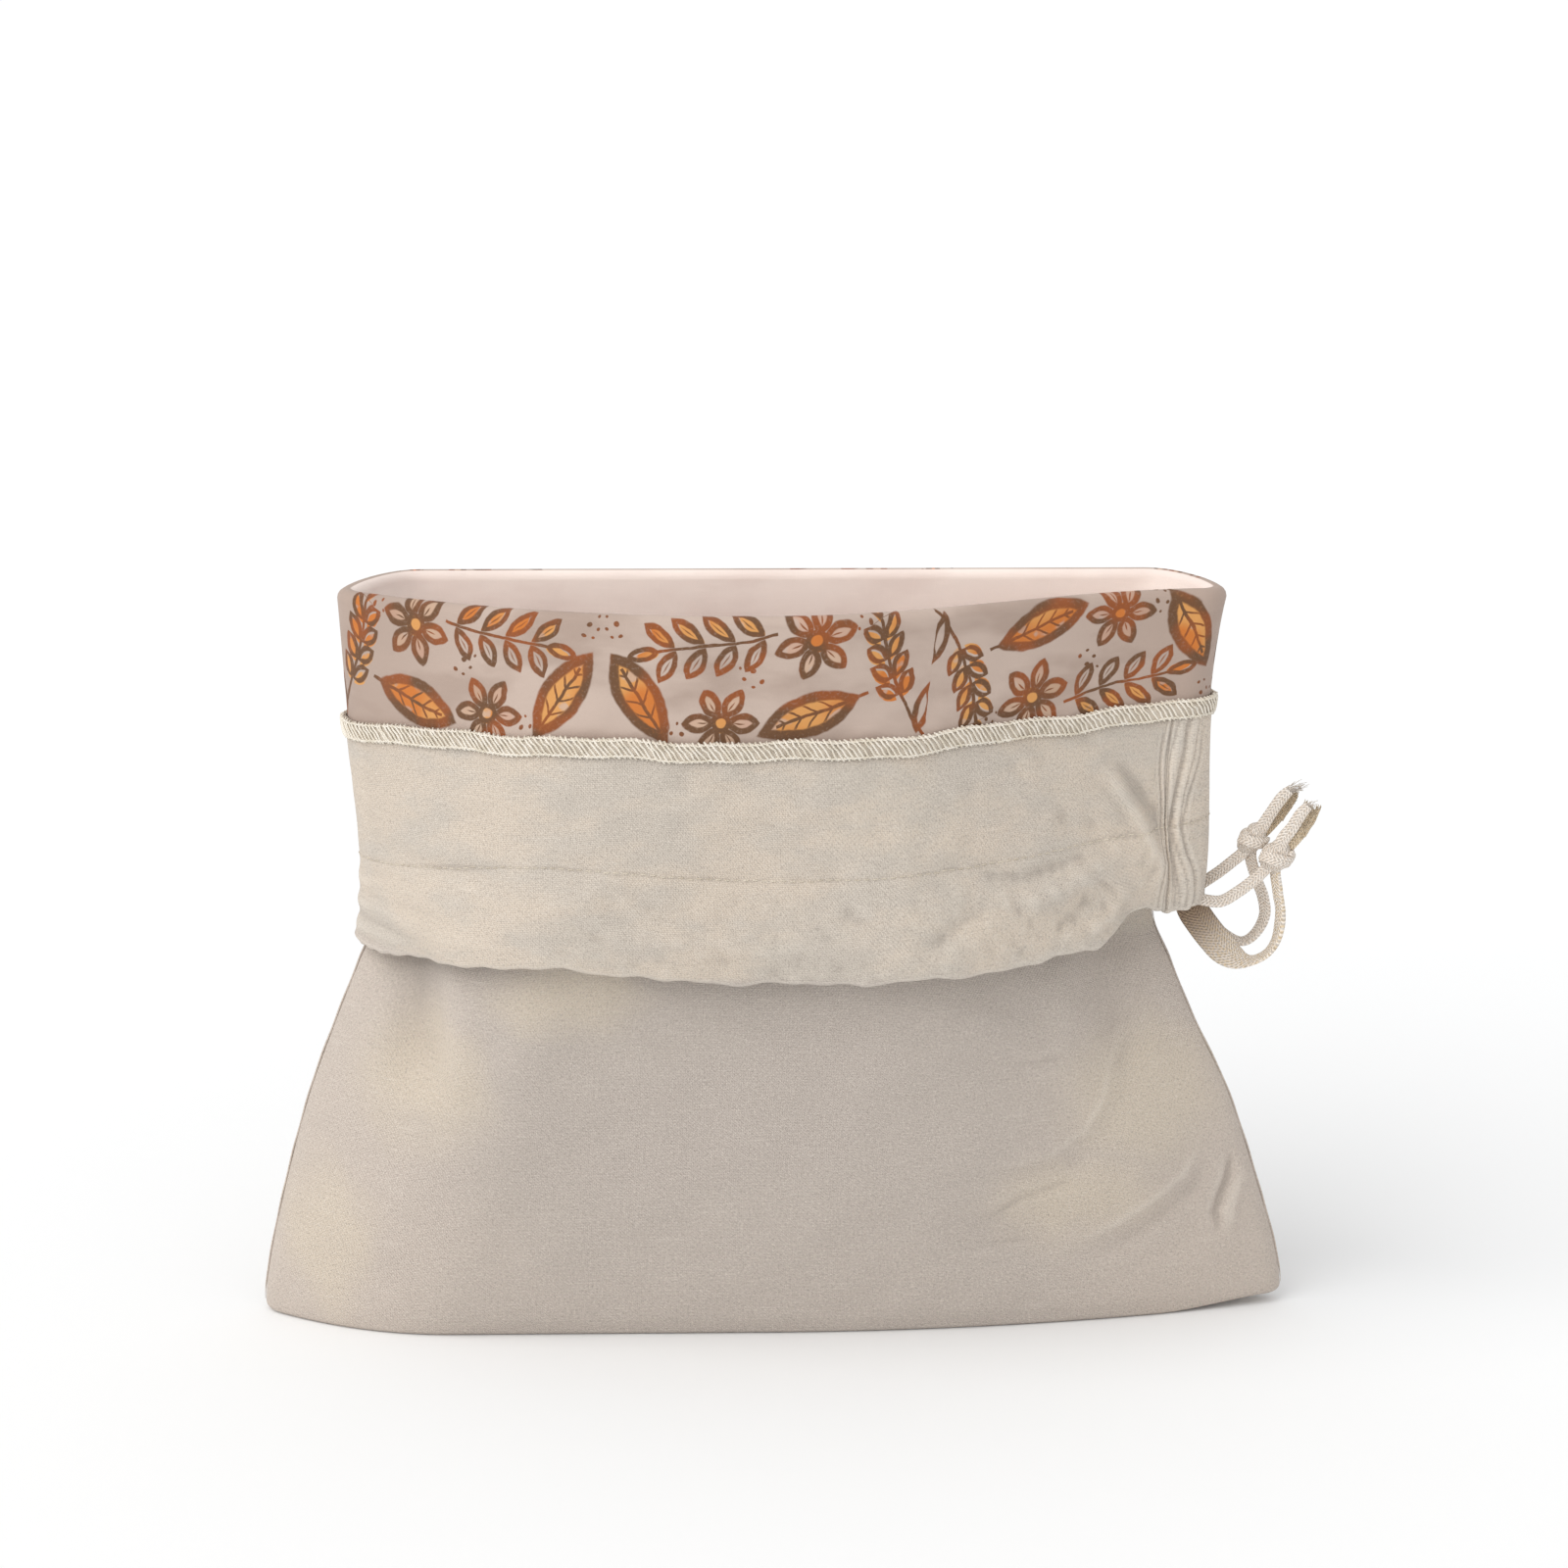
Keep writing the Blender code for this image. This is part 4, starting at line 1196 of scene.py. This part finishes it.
def buildSprig():
    # a stem with leaves on both sides, along x from -1 to 1, the leaves of one side filled
    local, aside, end = stampStart("stampSprig")

    def shapes(space):
        x, y, straight, cells = rowSpace(space, lambda x: sine(x * 1.8) * 0.10, 0.05, 0.40)
        leaf, tip = leafAway(cells, 0.02, 0.23, 0.22, 0.40, 0.86), leafAway(straight, 0.86, 0.0, 0.20, 0.38)
        return x, y, cells, leaf, tip

    x, y, cells, leaf, tip = shapes(local)
    vein = leafAway(cells, 0.02, 0.23, 0.15, 0.12, 0.86)
    leaves = most(outlined(leaf, 0.15), inside(vein)) * span(x, -0.85, 0.74)
    line = most(leaves, outlined(tip, 0.15), stroke(y, 0.028) * span(x, -1.0, 0.72))
    x, y, cells, leaf, tip = shapes(aside)
    filled = inside(leaf) * fade(y, 0.0, 0.01) * span(x, -0.85, 0.74)
    return inkOut(end, line, most(filled, inside(tip)))


def buildFlower():
    # six petals round a middle, out to 1
    local, aside, end = stampStart("stampFlower")
    x, y = split(local)[:2]
    far = distance(local)
    sector = math.pi / 3
    turn = calc("ARCTAN2", y, x) % sector - sector / 2
    petalSpace = combine(far * calc("COSINE", turn), far * sine(turn))
    petal = leafAway(petalSpace, 0.63, 0.0, 0.37, 0.54)
    vein = leafAway(petalSpace, 0.52, 0.0, 0.19, 0.16)
    middle = roundAway(local, 0.0, 0.0, 0.22, 0.22)
    line = most(outlined(petal, 0.24), inside(vein), outlined(middle, 0.42))
    middleFill = inside(roundAway(aside, 0.0, 0.0, 0.26, 0.26))
    return inkOut(end, line, most(middleFill, inside(petal, 0.1) * 0.30))


def buildLeaf():
    # one filled leaf along x with its rib and side veins
    local, aside, end = stampStart("stampLeaf")
    x, y = split(local)[:2]
    edge = leafAway(local, 0.0, 0.0, 0.86, 0.38)
    rib = stroke(y, 0.040) * span(x, -1.16, 0.64)
    veins = stroke((x - abs(y)) % 0.30 - 0.15, 0.036) * inside(edge, 0.12)
    return inkOut(end, most(outlined(edge, 0.09), rib, veins), inside(leafAway(aside, 0.0, 0.0, 0.86, 0.38)))


def buildSeeds():
    # a few loose dots: x, y and size
    local, _, end = stampStart("stampSeeds")
    seeds = [(-0.7, -0.25, 0.17), (0, 0.45, 0.20), (0.55, -0.1, 0.15), (-0.1, -0.6, 0.13), (0.9, 0.7, 0.12)]
    dots = [roundAway(local, x, y, size * 1.25, size, x) for x, y, size in seeds]
    return inkOut(end, most(*(fade(dot, 0.7, 1.0, 1.0, 0.0) for dot in dots)))


stamps = {
    "ear": buildEar(),
    "sprig": buildSprig(),
    "flower": buildFlower(),
    "leaf": buildLeaf(),
    "seeds": buildSeeds(),
}

# the repeat, in millimetres: motif, middle along and down from the rim, turn in degrees, size
printRepeat = {
    "length": 118.0,
    "height": 46.0,
    "motifs": [
        ("ear", 15, 22, 66, 28),
        ("flower", 44, 9, 12, 13.5),
        ("leaf", 44, 36, -20, 19),
        ("sprig", 82, 11, -16, 25),
        ("flower", 75, 38, 30, 12.5),
        ("leaf", 104, 30, 56, 19),
        ("seeds", 65, 22, 0, 5.0),
        ("seeds", 90, 43, 50, 4.6),
        ("seeds", 114, 6, 20, 4.6),
        ("seeds", 27, 4, 70, 4.4),
    ],
}


def repeatPlace(drawn):
    # every other length of the repeat is mirrored along, and every other pair upside down
    length, tall = printRepeat["length"] * mm, printRepeat["height"] * mm
    x, y = split(drawn)[:2]
    zone = calc("FLOOR", calc("DIVIDE", x, length))
    along = x % length
    along = along + zone % 2.0 * calc("MULTIPLY_ADD", along, -2.0, length)
    over = calc("FLOOR", calc("DIVIDE", zone, 2.0)) % 2.0
    up = y * -1.0
    return combine(along, up + over * calc("MULTIPLY_ADD", up, -2.0, -tall))


def liningMaterial(colours):
    material, shader, place, spot = newMaterial("printed_lining_cloth", 0.78, 0.25, 0.1)
    weave = weaveAt(place, 2600.0, 0.3)
    at, ink = repeatPlace(jittered(place, 160.0, 0.0016)), None
    for kind, x, down, turn, size in printRepeat["motifs"]:
        inputs = {"Place": at, "Middle": (x * mm, -down * mm, 0), "Turn": (0, 0, math.radians(turn))}
        stamp = useGroup(stamps[kind], {**inputs, "Size": size * mm})["Ink"]
        ink = vectorCalc("MAXIMUM", ink, stamp) if ink else stamp
    inkLine, inkFill = split(ink, "ShaderNodeSeparateColor")[:2]
    # the print starts past the rim; the ground is deeper in random clouds and towards the sides, where the
    # darkening is painted shade
    printed = fade(split(place)[1], -0.0012, -0.0006)
    clouds = fade(grain(spot, (22, 22, 60), 3.0), 0.38, 0.64)
    cloudsAndSideShade = most(clouds, fade(abs(split(spot)[0]), 0.085, 0.15, 0.0, 0.85))
    ground = blend(cloudsAndSideShade, colours["ground"], colours["groundDeep"])
    plain = blend(clouds, colours["inside"], colours["insideDeep"])
    worn = fade(grain(place, (900, 900, 1), 2.0, 0.6), 0.25, 0.5, 0.80, 1.0)
    lineColour = blend(fade(noise(place, 60.0, 1.0), 0.4, 0.62), colours["line"], colours["lineWarm"])
    patchy = fade(noise(place, 120.0), 0.34, 0.42, 0.35, 0.95)
    fillColour = blend(fade(noise(place, 34.0, 1.0), 0.42, 0.56), colours["fill"], colours["fillPale"])
    colour = blend(inkFill * patchy, ground, fillColour)
    colour = blend(printed, plain, blend(inkLine * worn, colour, lineColour))
    colour = varied(colour, fade(weave["Height"], 0.0, 1.0, 0.93, 1.03))
    soft = bump(noise(spot, 60.0, 3.0), 0.0012, 0.3)
    feed(shader, {"Base Color": colour, "Normal": bump(weave["Height"], 0.00012, 0.4, Normal=soft)})
    return material


def addLining():
    depth = bag["cloth"] + bag["gap"]
    rows, rimStart = wallRows(depth, 2, 8, 0.5)
    rows += cuffRows(depth, np.linspace(0.1, 0.985, 20))
    names = ("printed_cotton", "printed_lining")
    kept = (bag["lining"], liningMaterial(printColours), *names)
    return clothRing("printed_band_and_lining", rows, rimStart + 4, len(rows) - 1, *kept)


lining = addLining()
print("lining made:", len(lining.data.polygons), "faces")

# the overlocked seam: a rolled edge bound with slanting threads and two chains, in millimetres
overlock = {
    "height": 6.4,
    "depth": 1.1,
    "pitch": 2.0,
    "rollPitch": 1.4,
    "mapRise": 2.0,
    "threadRadius": 0.42,
    "colour": tone(255, 248, 236),
    "shade": tone(236, 226, 208),
    "cloth": tone(224, 213, 198),
    "clothShade": tone(202, 190, 174),
    # each chain: lower or upper edge, how far in from it, how far out, its dip and its radius
    "chains": [(-1, 0.1, 0.62, 0.35, 0.36), (1, -0.1, 0.78, 0.45, 0.30)],
}


def threadMaterial(name, pale, deep):
    material, shader, place, spot = newMaterial(name, 0.7, 0.3)
    x, y = split(place)[:2]
    ply = stripes(x + y * 0.7, 0.0008)
    uneven = fade(noise(spot, 260.0, 3.0), 0.35, 0.7)
    # painted shade: darker in the grooves between the plies, over a random unevenness
    base = blend(fade(ply, -1.0, 0.2, 0.35, 0.0), blend(uneven, pale, deep), deep)
    feed(shader, {"Base Color": base, "Normal": bump(ply + uneven, 0.0002, 0.6)})
    return material


overlockMaterial = threadMaterial("overlock_threads", overlock["colour"], overlock["shade"])
rollMaterial = threadMaterial("overlock_cloth", overlock["cloth"], overlock["clothShade"])


def runRound(heightAt):
    # distance round the bag along a line on the cuff, to space its stitches
    fine = np.linspace(0, 2 * math.pi, 3000)
    return fine, runAlong(cuffAt(fine, heightAt(fine), 2 * bag["mouthFold"]))


def addRoll(fine, run, half, overFacing, overBand):
    depth = overlock["depth"]
    # its section: along its underside, then over its top, each up and out
    profile = [(-half, overFacing), (0.5, overFacing), (half, overBand)]
    profile.append((half + 0.1, overBand + depth * 0.55))
    ups = (half - 0.9, half - 2.4, 0.0, -half + 1.8, -half + 0.6, -half - 0.2)
    profile += [(up, overFacing + depth * out) for up, out in zip(ups, (0.62, 0.66, 0.60, 0.52, 0.42, 0.2))]
    count = int(round(run[-1] / overlock["rollPitch"]))
    ring = np.interp(np.arange(count) * run[-1] / count, run, fine)
    wave = 0.22 * np.sin(ring * 97) + 0.16 * np.sin(ring * 211 + 1)
    rows = []
    for k, (up, out) in enumerate(profile):
        rise = up + wave * (1.0 if up > 2 else 0.4)
        push = 0.12 * np.sin(ring * 143 + k) if k > 2 else 0.0
        rows.append(cuffAt(ring, lineHeight(ring) + rise, out + push))
    # the rows close on each other both ways
    r, i = np.arange(len(rows))[:, None], np.arange(count)[None]
    low, high = r * count, (r + 1) % len(rows) * count
    j = (i + 1) % count
    quads = np.stack([high + i, high + j, low + j, low + i], -1)
    faces = [tuple(quad) for quad in quads.reshape(-1, 4).tolist()]
    across, up = overlock["rollPitch"] * mm, overlock["mapRise"] * mm
    a, b, near, far = np.broadcast_arrays(i * across, (i + 1) * across, r * up, (r + 1) * up)
    corners = np.stack([a, far, b, far, b, near, a, near], -1).reshape(-1, 2)
    made = (np.reshape(rows, (-1, 3)) * mm, faces, corners)
    return makeObject("overlock_roll", *made, rollMaterial, "overlock_thread", ["overlock_edge"])


def addOverlock():
    half, depth = overlock["height"] / 2, overlock["depth"]
    overFacing = 2 * bag["mouthFold"] + bag["gap"]
    overBand = bag["cloth"] + bag["lining"] + 2 * bag["gap"]
    fine, run = runRound(lineHeight)
    band = addRoll(fine, run, half, overFacing, overBand)
    # slanting threads over the roll, one for each stitch
    rng = np.random.default_rng(4)
    stitches = int(round(run[-1] / overlock["pitch"]))
    pitch = run[-1] / stitches
    starts = np.arange(stitches) * pitch + rng.normal(0, 0.16, stitches)
    ups = np.array([half + 0.3, half - 0.3, half - 1.7, 0.2, -half + 1.4, -half + 0.2, -half - 0.35])
    outs = np.array([0.5, 0.86, 0.92, 0.86, 0.70, 0.48, 0.12]) * depth + overFacing
    outs[0] = overBand + depth * 0.5
    leans = np.array([-0.80, -0.62, -0.34, 0.0, 0.34, 0.62, 0.74]) * pitch * 2.0
    lines = np.zeros((stitches, len(ups), 3))
    for n in range(len(ups)):
        away = (starts + leans[n] + rng.normal(0, 0.10, stitches)) % run[-1]
        angle = np.interp(away, run, fine)
        rise = ups[n] + rng.normal(0, 0.14, stitches)
        lines[:, n] = cuffAt(angle, lineHeight(angle) + rise, outs[n] + 0.15)
    parts = [threads(lines * mm, overlock["threadRadius"] * mm)]
    # a chain along the lower edge and a looser one along the upper edge
    t = np.linspace(0, 1, 7)
    arch = np.sin(np.pi * t)[None, :]
    for side, move, out, dip, radius in overlock["chains"]:
        angle = np.interp((starts[:, None] + pitch * t[None, :]) % run[-1], run, fine)
        rise = side * half + move - 0.35 * arch * side + rng.normal(0, 0.08, (stitches, 1))
        lift = overFacing + depth * out + dip * arch - 0.25
        parts.append(threads(cuffAt(angle, lineHeight(angle) + rise, lift) * mm, radius * mm))
    return band, makeObject("overlock_stitches", *joined(parts), overlockMaterial, "overlock_thread")


overlockBand, overlockStitches = addOverlock()
print("overlocked seam made:", len(overlockStitches.data.polygons), "faces")

# a line of running stitches holds the channel of the tie
runningStitch = {
    "length": 2.2,
    "pitch": 3.3,
    "radius": 0.22,
    "colour": tone(232, 222, 205),
    "shade": tone(204, 192, 174),
}


def addRunningStitches():
    fine, run = runRound(stitchHeight)
    count = int(run[-1] / runningStitch["pitch"])
    rng = np.random.default_rng(7)
    starts = np.arange(count) * run[-1] / count + rng.normal(0, 0.1, count)
    t = np.linspace(0, 1, 5)
    angle = np.interp((starts[:, None] + runningStitch["length"] * t[None, :]) % run[-1], run, fine)
    height = stitchHeight(angle) + rng.normal(0, 0.15, (count, 1))
    lift = 2 * bag["mouthFold"] + 0.2 * np.sin(np.pi * t)[None, :] - 0.05
    made = threads(cuffAt(angle, height, lift) * mm, runningStitch["radius"] * mm)
    material = threadMaterial("channel_thread", runningStitch["colour"], runningStitch["shade"])
    return makeObject("channel_stitches", *made, material, "overlock_thread")


channelStitches = addRunningStitches()

# narrow ridges where the side seams are turned in
sideSeam = {"width": 1.7, "thickness": 0.9, "bottom": 3.4, "top": 158.0, "steps": 110}


def addSideSeam(name, angle):
    steps = sideSeam["steps"]
    heights = np.linspace(sideSeam["bottom"], sideSeam["top"], steps)
    wobble = 0.18 * np.sin(heights / 3.1) + 0.14 * np.sin(heights / 7.7 + 1)
    centres = place(np.full(steps, angle), heights, 0.25 + wobble * 0.5) * mm
    ahead = unit(np.gradient(centres, axis=0))
    out = square(np.tile([[1.0 if angle else -1.0, 0, 0]], (steps, 1)), ahead)
    turn = 2 * np.pi * np.arange(10) / 10
    section = 0.5 * np.stack([np.cos(turn), np.sin(turn)], 1)
    ends = 0.25 + 0.75 * smooth(np.linspace(0, 12, steps)) * smooth(np.linspace(12, 0, steps))
    widths, thicks = (sideSeam[key] * mm * ends for key in ("width", "thickness"))
    swept = sweep(centres, np.cross(out, ahead), out, widths, thicks, section)
    return makeObject(name, *swept, cottonMaterial, "natural_cotton")


sideSeams = [addSideSeam("side_seam_left", 0.0), addSideSeam("side_seam_right", math.pi)]
print("stitches and side seams made")

# floor and light
studio = {
    "floor": tone(246, 247, 248),
    "worldStrength": 0.78,
    "sunStrength": 1.5,
    "sunFrom": (-0.58, -0.46, 0.67),
    "sunAngle": 60.0,
}


def addStudio():
    bpy.ops.object.select_all(action="DESELECT")
    bpy.ops.mesh.primitive_plane_add(size=24, location=(0, 6, 0))
    floor = bpy.context.object
    floor.name = "studio_floor"
    material, shader = newMaterial("studio_white", 0.9, 0.0)[:2]
    shader.inputs["Base Color"].default_value = studio["floor"]
    floor.data.materials.append(material)
    world = bpy.data.worlds.new("studio_world")
    world.use_nodes = True
    back = world.node_tree.nodes["Background"]
    back.inputs["Color"].default_value = (1.0, 1.0, 1.0, 1.0)
    back.inputs["Strength"].default_value = studio["worldStrength"]
    scene.world = world
    bpy.ops.object.light_add(type="SUN", location=(-1.5, -1.2, 1.4))
    sun = bpy.context.object
    sun.name = "soft_sun"
    sun.data.energy = studio["sunStrength"]
    sun.data.angle = math.radians(studio["sunAngle"])
    sun.data.color = (1.0, 0.985, 0.96)
    x, y, z = studio["sunFrom"]
    sun.rotation_euler = (math.atan2(math.hypot(x, y), z), 0, math.atan2(x, -y))
    scene.view_settings.view_transform = "Standard"
    scene.view_settings.look = "None"


addStudio()
print("studio made")
